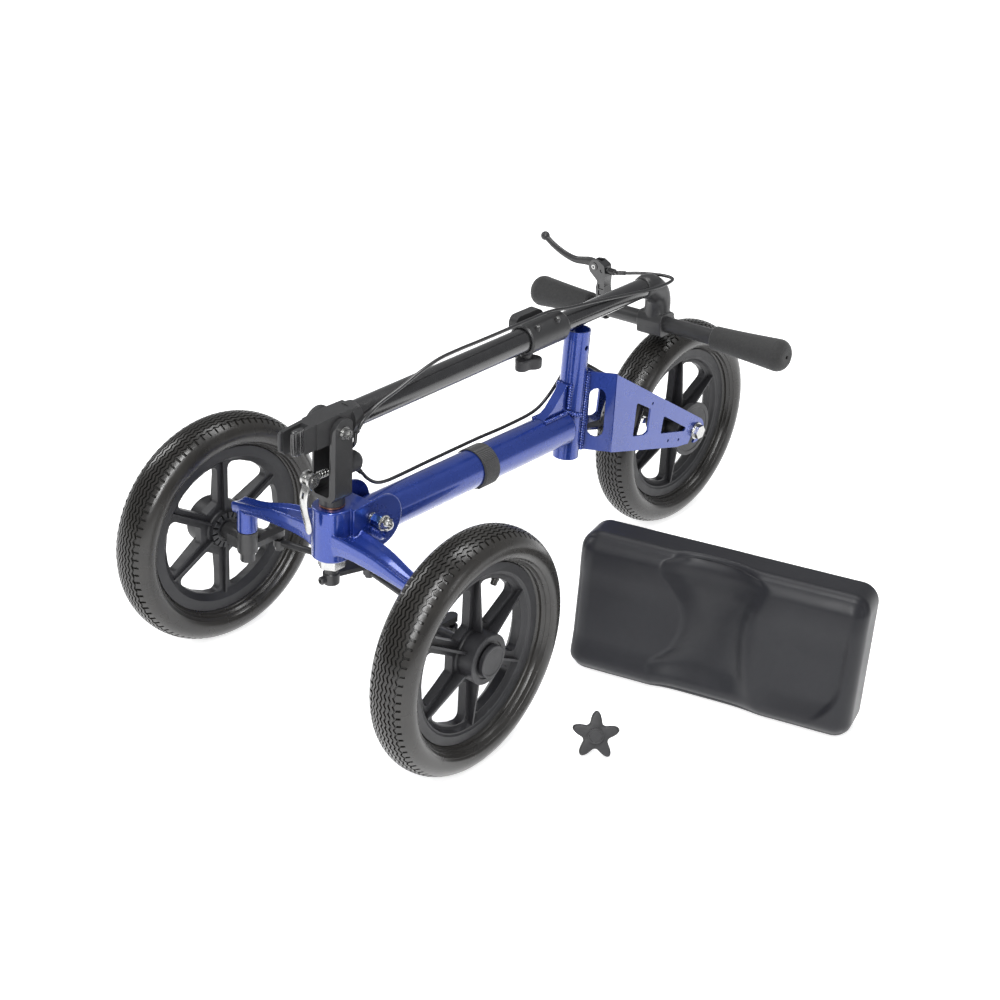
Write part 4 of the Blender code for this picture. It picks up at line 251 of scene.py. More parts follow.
def make_looks():
    looks = {}
    blue = Look("frame_blue", (0.013, 0.04, 0.265), 0.28, 0.5, Coat_Weight=0.8, Coat_Roughness=0.05)
    blue.mottle(900, (0.036, 0.085, 0.4), 0.45, 0.7, 0.55)
    # The last colour here, mixed into inside corners, is painted shade.
    blue.mottle(9, (0.009, 0.03, 0.19), 0.4, 0.75, 0.35).painted_crease_shade((0.006, 0.014, 0.09), 0.008, 0.65)
    blue.uneven(30, 0.05)
    blue.relief(blue.noise(240, 2.0), 0.06, 0.0006)
    looks["blue"] = blue
    gloss = ("black_gloss", (0.011, 0.011, 0.012), 0.22, 0.8)
    satin = ("black_satin", (0.022, 0.022, 0.023), 0.42, 0.15)
    for name, colour, rough, coat in (gloss, satin):
        look = Look(name, colour, rough, 0.0, Coat_Weight=coat, Coat_Roughness=0.15)
        look.mottle(40, (0.03, 0.03, 0.031), 0.4, 0.8, 0.4).uneven(55, 0.06)
        look.relief(look.noise(1100, 2.0, 0.6), 0.14, 0.0004)
        # The lighter edge colour is partly wear, partly a painted highlight.
        looks[name] = look.edges((0.06, 0.06, 0.06), 0.55, 0.66, 0.25)
    plastic = Look("black_plastic", (0.022, 0.022, 0.024), 0.5)
    plastic.mottle(60, (0.034, 0.034, 0.036), 0.4, 0.8, 0.5).uneven(80, 0.06)
    plastic.relief(plastic.cells(2600), 0.16, 0.0003)
    # The lighter edge colour is partly wear, partly a painted highlight.
    looks["plastic"] = plastic.edges((0.06, 0.06, 0.062), 0.53, 0.62, 0.4)
    rim = Look("rim_plastic", (0.015, 0.015, 0.017), 0.46, Specular_IOR_Level=0.42)
    rim.mottle(35, (0.023, 0.023, 0.026), 0.35, 0.8, 0.6).uneven(50, 0.06)
    # The darker colour in inside corners is painted shade; the lighter edge colour is partly wear, partly a
    # painted highlight.
    rim.relief(rim.cells(1900), 0.15, 0.0003).painted_crease_shade((0.006, 0.006, 0.007), 0.01, 0.6)
    looks["rim"] = rim.edges((0.055, 0.056, 0.06), 0.52, 0.6, 0.5)
    tyre = Look("tyre_rubber", (0.015, 0.014, 0.013), 0.27, Sheen_Weight=0.04)
    tyre.mottle(22, (0.026, 0.024, 0.021), 0.35, 0.8, 0.7).uneven(18, 0.06)
    # The darker colour in the grooves and inside corners is painted shade.
    tyre.relief(tyre.noise(1500, 3.0, 0.6), 0.12, 0.0004).painted_crease_shade((0.005, 0.005, 0.004), 0.004, 0.9)
    looks["tyre"] = tyre
    grip = Look("grip_foam", (0.02, 0.02, 0.02), 0.88, Sheen_Weight=0.15)
    grip.mottle(300, (0.036, 0.036, 0.036), 0.4, 0.75, 0.6)
    grip.relief(grip.noise(1700, 4.0, 0.7), 0.5, 0.0006)
    looks["grip"] = grip
    steel = Look("zinc_steel", (0.5, 0.5, 0.49), 0.24, 1.0)
    steel.mottle(160, (0.3, 0.3, 0.3), 0.4, 0.75, 0.5).uneven(120, 0.05)
    looks["steel"] = steel.relief(steel.noise(260, 2.0), 0.04, 0.0002)
    zinc = Look("blue_zinc", (0.12, 0.27, 0.62), 0.24, 1.0)
    zinc.mottle(200, (0.3, 0.46, 0.78), 0.4, 0.75, 0.7)
    looks["zinc"] = zinc.relief(zinc.noise(260, 2.0), 0.04, 0.0002)
    copper = Look("head_ring_copper", (0.42, 0.2, 0.12), 0.34, 1.0)
    copper.mottle(260, (0.25, 0.11, 0.06), 0.4, 0.8, 0.7)
    looks["copper"] = copper.relief(copper.noise(1200, 2.0), 0.1, 0.0002)
    cable = Look("cable_skin", (0.014, 0.014, 0.015), 0.3, Coat_Weight=0.4, Coat_Roughness=0.1)
    cable.mottle(90, (0.026, 0.026, 0.027), 0.4, 0.8, 0.5)
    looks["cable"] = cable.relief(cable.noise(700, 2.0), 0.05, 0.0003)
    looks["webbing"] = webbing_look()
    pad = Look("pad_skin", (0.013, 0.013, 0.016), 0.42, Specular_IOR_Level=0.3)
    pad.mottle(7, (0.019, 0.02, 0.024), 0.35, 0.75, 0.7).mottle(120, (0.011, 0.012, 0.015), 0.45, 0.8, 0.4)
    pad.uneven(11, 0.05)
    pad.relief(pad.cells(1300), 0.1, 0.00025)
    looks["pad"] = pad.relief(pad.noise(60, 3.0), 0.06, 0.0015)
    return {key: look.mat for key, look in looks.items()}


def webbing_look():
    """Woven strap: two crossed waves, one round the tube and one along it."""
    look = Look("strap_webbing", (0.02, 0.02, 0.021), 0.85, Sheen_Weight=0.2)
    heights = []
    for direction, scale in (("Y", 330), ("Z", 250)):
        wave = look.node("TexWave", wave_type="BANDS", bands_direction=direction, wave_profile="SIN")
        wave.inputs["Scale"].default_value = scale
        wave.inputs["Distortion"].default_value = 0.6
        look.link(look.coords, wave.inputs["Vector"])
        heights.append(wave.outputs["Fac"])
    mixed = look.node("Math", operation="MULTIPLY")
    look.link(heights[0], mixed.inputs[0])
    look.link(heights[1], mixed.inputs[1])
    look.tint(look.ramp(mixed.outputs[0], 0.0, 1.0, 0.0, 0.7), (0.048, 0.048, 0.05))
    return look.relief(mixed.outputs[0], 0.8, 0.0006)


# Shapes

def frame_on(origin, direction):
    """A place whose Z looks along a direction."""
    lean = Vector((0, 0, 1)).rotation_difference(Vector(direction))
    return Matrix.Translation(origin) @ lean.to_matrix().to_4x4()


def rod(start, end, radius, segments=48, into=None):
    bm = into or bmesh.new()
    start, end = Vector(start), Vector(end)
    place = frame_on((start + end) / 2, end - start)
    bmesh.ops.create_cone(bm, cap_ends=True, segments=segments, radius1=radius, radius2=radius,
                          depth=(end - start).length, matrix=place)
    return bm


def on_axis(axis, a, b, c):
    """A point c along one axis, with a and b as its place on the other two."""
    return {"X": (c, a, b), "Y": (a, c, b), "Z": (a, b, c)}[axis]


def pin(axis, start, end, a, b, radius, segments=48, into=None):
    """A rod along one axis; a and b are its place on the other two."""
    return rod(on_axis(axis, a, b, start), on_axis(axis, a, b, end), radius, segments, into)


def box(low, high):
    bm = bmesh.new()
    low, high = Vector(low), Vector(high)
    place = Matrix.Translation((low + high) / 2) @ Matrix.Diagonal((*(high - low), 1))
    bmesh.ops.create_cube(bm, size=1.0, matrix=place)
    return bm


def circle(count):
    """Angles in equal steps round a circle."""
    return [2 * pi * k / count for k in range(count)]


def arc(cx, cy, radius, start, end, steps):
    angles = [radians(start + (end - start) * i / steps) for i in range(steps + 1)]
    return [(cx + radius * cos(a), cy + radius * sin(a)) for a in angles]


def rounded(points, radius, steps=3):
    """A polygon with its corners rounded; points on the axis (first number 0) stay sharp."""
    out = []
    for i in range(len(points)):
        before, here, after = (Vector(points[k % len(points)]) for k in (i - 1, i, i + 1))
        size = radius[i] if isinstance(radius, (list, tuple)) else radius
        a, b = before - here, after - here
        if size == 0 or abs(here.x) < 1e-9 or min(a.length, b.length) < 1e-9:
            out.append(tuple(here))
            continue
        half = a.angle(b) / 2
        reach = min(size / tan(half), a.length * 0.48, b.length * 0.48)
        size = reach * tan(half)
        a.normalize()
        b.normalize()
        if (a + b).length < 1e-6:
            out.append(tuple(here))
            continue
        centre = here + (a + b).normalized() * (size / sin(half))
        start, end = here + a * reach - centre, here + b * reach - centre
        swing = atan2(start.x * end.y - start.y * end.x, start.dot(end))
        for k in range(steps + 1):
            c, s = cos(swing * k / steps), sin(swing * k / steps)
            out.append((centre.x + start.x * c - start.y * s, centre.y + start.x * s + start.y * c))
    return out


def bridge(bm, first, second):
    """Faces between two rings, of which one may be a single point."""
    if len(first) == 1 and len(second) == 1:
        return
    count = max(len(first), len(second))
    for i in range(count):
        j = (i + 1) % count
        a = (first[0],) if len(first) == 1 else (first[i], first[j])
        b = (second[0],) if len(second) == 1 else (second[j], second[i])
        bm.faces.new((*a, *b))


def turned(profile, segments=72, place=Matrix.Identity(4)):
    """Turn a closed outline of (radius, height) points, in metres, about Z, then put it in place."""
    bm = bmesh.new()
    rings = []
    for radius, height in profile:
        if abs(radius) < 1e-9:
            rings.append([bm.verts.new(place @ Vector((0, 0, height)))])
            continue
        rings.append([bm.verts.new(place @ Vector((radius * cos(a), radius * sin(a), height)))
                      for a in circle(segments)])
    for first, second in zip(rings, rings[1:] + rings[:1]):
        bridge(bm, first, second)
    return bm


def swept(rings, into=None):
    """A skin over rings of points, closed at both ends."""
    bm = into or bmesh.new()
    made = [[bm.verts.new(Vector(p)) for p in ring] for ring in rings]
    for first, second in zip(made, made[1:]):
        bridge(bm, first, second)
    bm.faces.new(list(reversed(made[0])))
    bm.faces.new(made[-1])
    return bm


def prism(outline, axis, low, high):
    return swept([[on_axis(axis, a, b, c) for a, b in outline] for c in (low, high)])


def between(p0, p1, p2, p3, t):
    """A smooth value from the second to the third, also shaped by the outer two."""
    return 0.5 * (2 * p1 + (p2 - p0) * t + (2 * p0 - 5 * p1 + 4 * p2 - p3) * t * t
                  + (3 * p1 - p0 - 3 * p2 + p3) * t ** 3)


def tube_ring(point, side, other, size, count):
    return [point + (side * cos(a) + other * sin(a)) * size for a in circle(count)]


def smooth_route(points, step):
    """Points along a smooth curve through the given ones."""
    pts = [Vector(p) for p in points]
    pts = [2 * pts[0] - pts[1]] + pts + [2 * pts[-1] - pts[-2]]
    out = []
    for p0, p1, p2, p3 in zip(pts, pts[1:], pts[2:], pts[3:]):
        count = max(1, round((p2 - p1).length / step))
        out += [between(p0, p1, p2, p3, k / count) for k in range(count)]
    out.append(pts[-2])
    return out


TOOLS = []


def new_object(name, mesh):
    obj = bpy.data.objects.new(name, mesh)
    bpy.context.scene.collection.objects.link(obj)
    return obj


def solid(name, bm, place=None):
    """An object from a bmesh, with its faces turned outwards."""
    if place is not None:
        bm.transform(place)
    bmesh.ops.recalc_face_normals(bm, faces=bm.faces)
    mesh = bpy.data.meshes.new(name)
    bm.to_mesh(mesh)
    bm.free()
    return new_object(name, mesh)


def combine(obj, operation, bm, place=None):
    """Add a boolean step with a solid that settle() takes away again."""
    tool = solid(obj.name + "_tool", bm, place)
    tool.hide_render = True
    TOOLS.append(tool)
    mod = obj.modifiers.new("shape", "BOOLEAN")
    mod.operation = operation
    mod.solver = "EXACT"
    mod.object = tool
    return obj


def cut(obj, bm, place=None):
    return combine(obj, "DIFFERENCE", bm, place)


def join(obj, bm, place=None):
    return combine(obj, "UNION", bm, place)


def settle(obj):
    """Apply the modifiers, so that the finished mesh is the object's own."""
    graph = bpy.context.evaluated_depsgraph_get()
    mesh = bpy.data.meshes.new_from_object(obj.evaluated_get(graph))
    obj.modifiers.clear()
    obj.data = mesh
    while TOOLS:
        tool = TOOLS.pop()
        bpy.data.objects.remove(tool, do_unlink=True)
    return obj


def soften(obj, width, segments=2, angle=32):
    """Round the hard edges of a finished solid."""
    settle(obj)
    bm = bmesh.new()
    bm.from_mesh(obj.data)
    bmesh.ops.remove_doubles(bm, verts=bm.verts, dist=2e-6)
    bmesh.ops.dissolve_limit(bm, angle_limit=radians(0.6), verts=bm.verts, edges=bm.edges)
    bm.to_mesh(obj.data)
    bm.free()
    mod = obj.modifiers.new("edge", "BEVEL")
    mod.width = width
    mod.segments = segments
    mod.limit_method = "ANGLE"
    mod.angle_limit = radians(angle)
    mod.miter_outer = "MITER_ARC"
    mod.use_clamp_overlap = True
    mod.harden_normals = False
    return settle(obj)


def melt(obj, voxel, rounds):
    """Blend a joined solid into one cast skin with small fillets."""
    settle(obj)
    mod = obj.modifiers.new("skin", "REMESH")
    mod.mode = "VOXEL"
    mod.voxel_size = voxel
    mod = obj.modifiers.new("melt", "SMOOTH")
    mod.factor = 0.5
    mod.iterations = rounds
    return settle(obj)


def finished(obj, look, body, *nodes, place=None, angle=42, weighted=True):
    """Put a piece in place and give it its look, its body and the nodes that it stands for."""
    if obj.modifiers:
        settle(obj)
    mesh = obj.data
    if place is not None:
        mesh.transform(place)
    mesh.materials.clear()
    mesh.materials.append(LOOKS[look])
    mesh.shade_smooth()
    mesh.set_sharp_from_angle(angle=radians(angle))
    if weighted:
        mod = obj.modifiers.new("normals", "WEIGHTED_NORMAL")
        mod.keep_sharp = True
    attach(obj, body)
    if nodes:
        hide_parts(*nodes)
    return obj


def lathe(name, profile, place, look, body, *nodes, radius=0.4, segments=72, steps=2):
    """A turned piece; its outline is in millimetres, its place a matrix whose Z is the axis."""
    outline = rounded([(r / 1000, h / 1000) for r, h in profile], radius / 1000, steps)
    return finished(solid(name, turned(outline, segments, place)), look, body, *nodes)


def node_copy(node):
    """A copy of a CAD node's solid, as a piece of its own."""
    obj = new_object(node + "_skin", NODES[node].data.copy())
    obj.data.materials.clear()
    return obj


# Wheels

SPIN = turn(pi / 2, "Y")
LONG = turn(-pi / 2, "X")
TOE = radians(2.75)
WHEEL_RADIUS = 152.4
WHEELS = {
    "left": (move(210, 0, WHEEL_RADIUS) @ turn(TOE, "Z"), "wheel_left"),
    "right": (move(-210, 0, WHEEL_RADIUS) @ turn(pi - TOE, "Z"), "wheel_right"),
    "rear": (move(0, 679, WHEEL_RADIUS), "rear_wheel"),
}
# The tread's zigzags round the tyre, and the places within one where its mesh has a column
WAVES = 88
PHASES = (0.0, 0.05, 0.25, 0.3, 0.5, 0.75)


def zigzag(phase):
    return 1 - 4 * abs((phase + 0.25) % 1 - 0.5)


def tyre_rows():
    """Rows across the tyre: section angle, groove depth, share of the zigzag, notch depth."""
    rows = []
    for groove in (-31.5, -21, -10.5, 0, 10.5, 21, 31.5):
        for step, depth in ((-5.2, 0), (-2.3, 0), (-1.3, 2.1), (1.3, 2.1), (2.3, 0)):
            shoulder = abs(groove + step) > 33.2
            rows.append((groove + step, depth, 1, 2.0 if shoulder and abs(step) < 3 else 0))
    rows = [row for row in rows if row[0] > -36]
    half = [(38, 0, 0.7, 2.0), (43.5, 0, 0.3, 1.8), (47, 0, 0, 1.2), (48.5, 0, 0, 0), (52.5, 0, 0, 0)]
    half += [(b, 0, 0, 0) for b in (57, 63, 69, 75, 81, 87, 93, 98)]
    mirrored = [(-b, depth, share, notch) for b, depth, share, notch in reversed(half)]
    return mirrored + rows + half


def tyre_point(degrees, depth, x_half=30.2, crown=131.1, rise=21.3):
    """A point of the tyre's section, in millimetres, as offset and radius."""
    a = radians(degrees)
    out = Vector((sin(a) / x_half, cos(a) / rise)).normalized()
    return x_half * sin(a) - depth * out.x, crown + rise * cos(a) - depth * out.y


# Offset and radius down one side of the tyre's foot, in millimetres
TYRE_FOOT = [(29.2, 125.6), (28.3, 123.8), (27.1, 122.4), (26.9, 121.8), (26.2, 121.7), (24.6, 120.4),
             (22.8, 119.1), (22.4, 118.4), (21.7, 118.4), (19.8, 117.2), (18.3, 116.5), (17.6, 115.6),
             (16.2, 115.3), (14.6, 115.1), (13.8, 114.4), (7.7, 108.5)]


def build_tyre(word, node):
    """A tyre as one closed skin, with its tread's grooves and notches in the mesh."""
    place, body = WHEELS[word]
    rows = tyre_rows()
    inner = TYRE_FOOT + [(-x, r) for x, r in reversed(TYRE_FOOT)]
    verts, faces = [], []
    columns = [(wave + phase, phase) for wave in range(WAVES) for phase in PHASES]
    for turn_at, phase in columns:
        a = 2 * pi * turn_at / WAVES
        ca, sa = cos(a), sin(a)
        notched = 0.04 < phase < 0.27
        section = [tyre_point(b + 2.7 * share * zigzag(phase), depth + (notch if notched else 0))
                   for b, depth, share, notch in rows]
        verts += [(x / 1000, r / 1000 * ca, r / 1000 * sa) for x, r in section + inner]
    across, count = len(rows) + len(inner), len(columns)
    for i in range(count):
        j = (i + 1) % count
        for k in range(across):
            m = (k + 1) % across
            faces.append((i * across + k, i * across + m, j * across + m, j * across + k))
    mesh = bpy.data.meshes.new(node)
    mesh.from_pydata(verts, [], faces)
    finished(new_object(node + "_skin", mesh), "tyre", body, node, place=place, angle=38)


def around_x(make, count, offset=0.0):
    """The same piece a number of times round the X axis."""
    whole = bmesh.new()
    for i in range(count):
        piece = make()
        piece.transform(turn(2 * pi * i / count + offset, "X"))
        mesh = bpy.data.meshes.new("piece")
        piece.to_mesh(mesh)
        piece.free()
        whole.from_mesh(mesh)
        bpy.data.meshes.remove(mesh)
    return whole


def rim_outline(hub_inner, hub_outer, flange):
    """The rim's section, in metres, with or without a flange at the outer end of its hub."""
    outline = [(0.0064, -hub_inner), (0.024, -hub_inner), (0.024, -0.0055), (0.091, -0.0055),
               (0.0985, -0.013), (0.113, -0.013), (0.108, -0.008), (0.108, 0.008), (0.113, 0.013),
               (0.1012, 0.013), (0.099, 0.0116), (0.0972, 0.0112), (0.0945, 0.0078), (0.0915, 0.0055),
               (0.024, 0.0055)]
    soft = [0.0006, 0.001, 0.003, 0.003, 0.0008, 0.0006, 0, 0, 0.0006, 0.0006, 0.0006, 0.0006,
            0.0015, 0.0015, 0.003]
    if flange:
        outline[-1] = (0.03, 0.0055)
        outline += [(0.0312, hub_outer), (0.0235, hub_outer), (0.023, hub_outer - 0.0012),
                    (0.0064, hub_outer - 0.0012)]
        soft += [0.0014, 0.0004, 0.0004, 0]
    else:
        outline += [(0.024, hub_outer), (0.0064, hub_outer)]
        soft += [0.0012, 0]
    return rounded(outline, soft)


def window_outline():
    corners = []
    for radius, side in ((0.038, -1), (0.0904, -1), (0.0904, -0.5), (0.0904, 0), (0.0904, 0.5), (0.0904, 1),
                         (0.038, 1)):
        angle = side * (pi / 6 - asin(0.0085 / radius))
        corners.append((radius * cos(angle), radius * sin(angle)))
    return rounded(corners, [0.004, 0.011, 0, 0, 0, 0.011, 0.004], 6)


def build_rim(word, node, hub_inner, hub_outer, flange=True):
    place, body = WHEELS[word]
    obj = solid(node + "_skin", turned(rim_outline(hub_inner, hub_outer, flange), 120, SPIN))
    window = window_outline()
    cut(obj, around_x(lambda: prism(window, "X", -0.013, 0.013), 6))
    rib = [(-0.011, 0.022), (0.0185, 0.022), (0.0178, 0.034), (0.0116, 0.0965), (-0.0088, 0.095)]
    join(obj, around_x(lambda: prism(rib, "Z", -0.0015, 0.0015), 6, pi / 6))
    if flange:
        inner = -hub_inner
        tooth = (inner - 0.001, 0.0165, -0.0013), (inner + 0.003, 0.03, 0.0013)
        cut(obj, around_x(lambda: box(*tooth), 16))
        cut(obj, pin("X", inner - 0.001, inner + 0.0012, 0, 0, 0.015))
    else:
        for side in (1, -1):
            cut(obj, pin("X", side * hub_inner + 0.001, side * hub_inner - 0.0012, 0, 0, 0.0165))
    soften(obj, 0.0006, 2, 34)
    finished(obj, "rim", body, node, place=place, angle=36)


def build_hub_cap(word):
    place, body = WHEELS[word]
    profile = [(0, 30.3), (20, 30.3), (20, 36.3), (17.2, 36.3), (16.6, 35.9), (0, 36.2)]
    lathe("hub_cap_%s_skin" % word, profile, place @ SPIN, "rim", body, "hub_cap_" + word,
          radius=0.9, steps=4)


def build_valve(word, angle):
    """The air valve that stands in from the rim at one window."""
    place, body = WHEELS[word]
    foot = turn(radians(angle), "X") @ turn(pi / 2, "X") @ shift(0, 0, -0.107)
    place = place @ foot
    profile = [(0, 0), (6.4, 0), (6, 8), (4.6, 13), (4.6, 21), (4, 21.5), (4, 26), (3, 27), (0, 27)]
    lathe("valve_" + word, profile, place, "tyre", body, radius=0.5, segments=32)


def build_wheels():
    for word in ("left", "right"):
        build_tyre(word, "tyre_front_" + word)
        build_rim(word, "rim_front_" + word, 0.015, 0.03)
        build_hub_cap(word)
    build_tyre("rear", "tyre_rear")
    build_rim("rear", "rim_rear", 0.027, 0.027, False)
    build_valve("left", 60)
    rear = WHEELS["rear"][0] @ SPIN
    drum = [(6.4, 27.3), (36, 27.3), (36, 35.3), (31, 35.3), (30, 34.7), (13, 34.7), (12, 35.3),
            (6.4, 35.3)]
    lathe("brake_drum_skin", drum, rear, "rim", "rear_wheel", "brake_drum", radius=0.8)


# Frame

VEHICLE = Matrix.Translation(ORIGIN)
STEERING_Y = STEER_Y / 1000
KINGPIN_X = 0.147
MAIN_TUBE_Z = 0.227
SEAT_LEAN = radians(2.5)
SEAT_FOOT_Y = 0.4335
SEAT_FOOT_Z = 0.1798


def stations(rows, count):
    """More rows between the given ones, along a smooth curve."""
    first = [2 * a - b for a, b in zip(rows[0], rows[1])]
    last = [2 * a - b for a, b in zip(rows[-1], rows[-2])]
    padded = [first, *rows, last]
    out = []
    for four in zip(padded, padded[1:], padded[2:], padded[3:]):
        out += [[between(*column, k / count) for column in zip(*four)] for k in range(count)]
    return out + [list(rows[-1])]


# Along a front arm, in metres: place, front, back, bottom, top and the depth of the dish in its top
ARM_ROWS = [[0.01, -0.03, 0.012, 0.206, 0.237, 0.0045],
            [0.035, -0.0295, 0.012, 0.214, 0.2365, 0.0055],
            [0.08, -0.028, 0.008, 0.2125, 0.232, 0.006],
            [0.125, -0.0255, 0.002, 0.206, 0.22, 0.0035],
            [0.162, -0.025, 0.001, 0.199, 0.213, 0.001]]


def arm_skin(side):
    """One front arm: a crest along its front, a dished top behind it and a rounded belly."""
    rings = []
    for x, y0, y1, z0, z1, dip in stations(ARM_ROWS, 6):
        middle = (y0 + y1) / 2
        rings.append([(side * x, y, z) for y, z in (
            (y0 + 0.002, z0), (y0, (z0 + z1) / 2), (y0 + 0.0002, z1 - 0.0012), (y0 + 0.0022, z1 + 0.001),
            (y0 + 0.0065, z1 - 0.7 * dip), (middle, z1 - 1.5 * dip), (y1 - 0.008, z1 - 1.2 * dip),
            (y1 - 0.003, z1 - dip / 4), (y1, z1 - dip / 2 - 0.002), (y1, z0 + 0.004), (y1 - 0.004, z0))])
    return swept(rings)


def build_head_casting():
    """The head's barrel, its two cheeks and the two arms with their kingpin lugs, as one casting."""
    barrel = [(0, 0.198), (0.0215, 0.198), (0.024, 0.2005), (0.024, 0.2645), (0.0228, 0.266), (0, 0.266)]
    obj = solid("head_casting_skin", turned(barrel, 64, shift(0, STEERING_Y, 0)))
    cheek = [(-0.004, 0.2), (-0.004, 0.265)] + list(reversed(arc(0.0445, 0.234, 0.034, -90, 90, 32)))
    join(obj, prism(cheek, "X", -0.0285, 0.0285))
    for side in (1, -1):
        join(obj, arm_skin(side))
        lug = rounded([(0, 0.175), (0.013, 0.175), (0.013, 0.2125), (0, 0.213)], 0.0012)
        join(obj, turned(lug, 40, shift(side * KINGPIN_X, STEERING_Y, 0)))
    settle(obj)
    cut(obj, box((-0.0253, 0.0267, 0.15), (0.0253, 0.12, 0.3)))
    melt(obj, 0.00085, 3)
    for side in (1, -1):
        cut(obj, pin("Z", 0.165, 0.207, side * KINGPIN_X, STEERING_Y, 0.0066, 32))
    cut(obj, pin("Z", 0.188, 0.276, 0, STEERING_Y, 0.0128))
    finished(obj, "blue", "frame", "head_casting", place=VEHICLE, angle=50)


def seat_axis(distance):
    """A point of the seat tube's axis, at a distance up from its foot."""
    y = SEAT_FOOT_Y + distance * sin(SEAT_LEAN)
    return Vector((0, y, SEAT_FOOT_Z + distance * cos(SEAT_LEAN)))


def seat_y(z):
    """How far back the seat tube's axis stands at a height."""
    return SEAT_FOOT_Y + (z - SEAT_FOOT_Z) * tan(SEAT_LEAN)


def build_tubes():
    main = rounded([(0.023, 0.027), (0.025, 0.027), (0.025, 0.4195), (0.0225, 0.424), (0, 0.425),
                    (0, 0.4), (0.023, 0.4)], [0.0003, 0.0003, 0.003, 0.003, 0, 0, 0], 4)
    obj = solid("main_tube_skin", turned(main, 96, shift(0, 0, MAIN_TUBE_Z) @ LONG))
    cut(obj, rod(seat_axis(-0.02), seat_axis(0.2), 0.0178, 96))
    soften(obj, 0.0003, 2, 40)
    finished(obj, "blue", "frame", "main_tube", place=VEHICLE)
    seat = turned([(0.0155, 0), (0.0175, 0), (0.0175, 0.1829), (0.0155, 0.1829)], 96)
    obj = solid("seat_tube_skin", seat)
    cut(obj, pin("X", 0, 0.04, 0, 0.1604, 0.0035, 32))
    soften(obj, 0.0005, 3, 40)
    place = VEHICLE @ frame_on(seat_axis(0), seat_axis(1) - seat_axis(0))
    finished(obj, "blue", "frame", "seat_tube", place=place)


def bead(points, radius, into, step=0.0005, pitch=0.0036):
    """A weld bead along a line: a thin worm that swells at every puddle."""
    path = smooth_route(points, step)
    rings = []
    run = 0.0
    for i, point in enumerate(path):
        before, after = path[max(i - 1, 0)], path[min(i + 1, len(path) - 1)]
        along = (after - before).normalized()
        side = along.cross(Vector((0.31, 0.52, 0.79))).normalized()
        other = along.cross(side)
        run += (point - before).length
        ends = min(1.0, 0.35 + 3 * min(i, len(path) - 1 - i) * step / radius)
        swell = 0.7 + 0.36 * abs(sin(pi * run / pitch)) + 0.05 * noise.noise(point * 400)
        size = radius * ends * swell
        rings.append(tube_ring(point, side, other, size, 12))
    return swept(rings, into)


def build_welds():
    """Beads where the seat tube, its gusset, the fork plates and the cheeks are welded."""
    bm = bmesh.new()
    for side in (1, -1):
        saddle = []
        for k in range(0, 19):
            phi = radians(5 * k)
            x = side * 0.0188 * sin(phi)
            z = MAIN_TUBE_Z + 0.0002 + sqrt(0.0262 ** 2 - x * x)
            saddle.append((x, seat_y(z) - 0.0188 * cos(phi), z))
        bead(saddle, 0.0036, bm)
        x = side * 0.01
        root = MAIN_TUBE_Z + sqrt(0.026 ** 2 - x * x)
        bead([(x, y, root) for y in (0.37, 0.385, 0.4, 0.416)], 0.0031, bm)
        bead([(x, seat_y(z) - 0.0168, z) for z in (0.256, 0.262, 0.275, 0.291)], 0.0035, bm)
        flange = [(side * 0.0142, seat_y(z) + 0.0134, z) for z in (0.189, 0.21, 0.24, 0.27, 0.3)]
        bead(flange, 0.0038, bm)
        edge = [(side * 0.0254, 0.0445 + 0.0338 * cos(a), 0.234 + 0.0338 * sin(a))
                for a in (radians(v) for v in range(-38, 15, 8))]
        bead(edge, 0.002, bm)
    obj = solid("weld_beads", bm, VEHICLE)
    finished(obj, "blue", "frame", angle=60, weighted=False)


def build_strap():
    profile = rounded([(0.0253, 0), (0.0269, 0), (0.0269, 0.028), (0.0253, 0.028)], 0.0005, 2)
    obj = solid("frame_strap_skin", turned(profile, 96, shift(0, 0.235, MAIN_TUBE_Z) @ LONG))
    inside, outside = (arc(0, MAIN_TUBE_Z, radius, -60, 35, 28) for radius in (0.0265, 0.0283))
    tail = inside + list(reversed(outside))
    join(obj, prism(tail, "Y", 0.2362, 0.2618))
    soften(obj, 0.0005, 2, 40)
    finished(obj, "webbing", "frame", "frame_strap", place=VEHICLE)


CABLE_RADIUS = 0.0023
FERRULE_RADIUS = 0.0031
CABLE_STEP = 0.003
FERRULE_SHOULDER = 0.0004
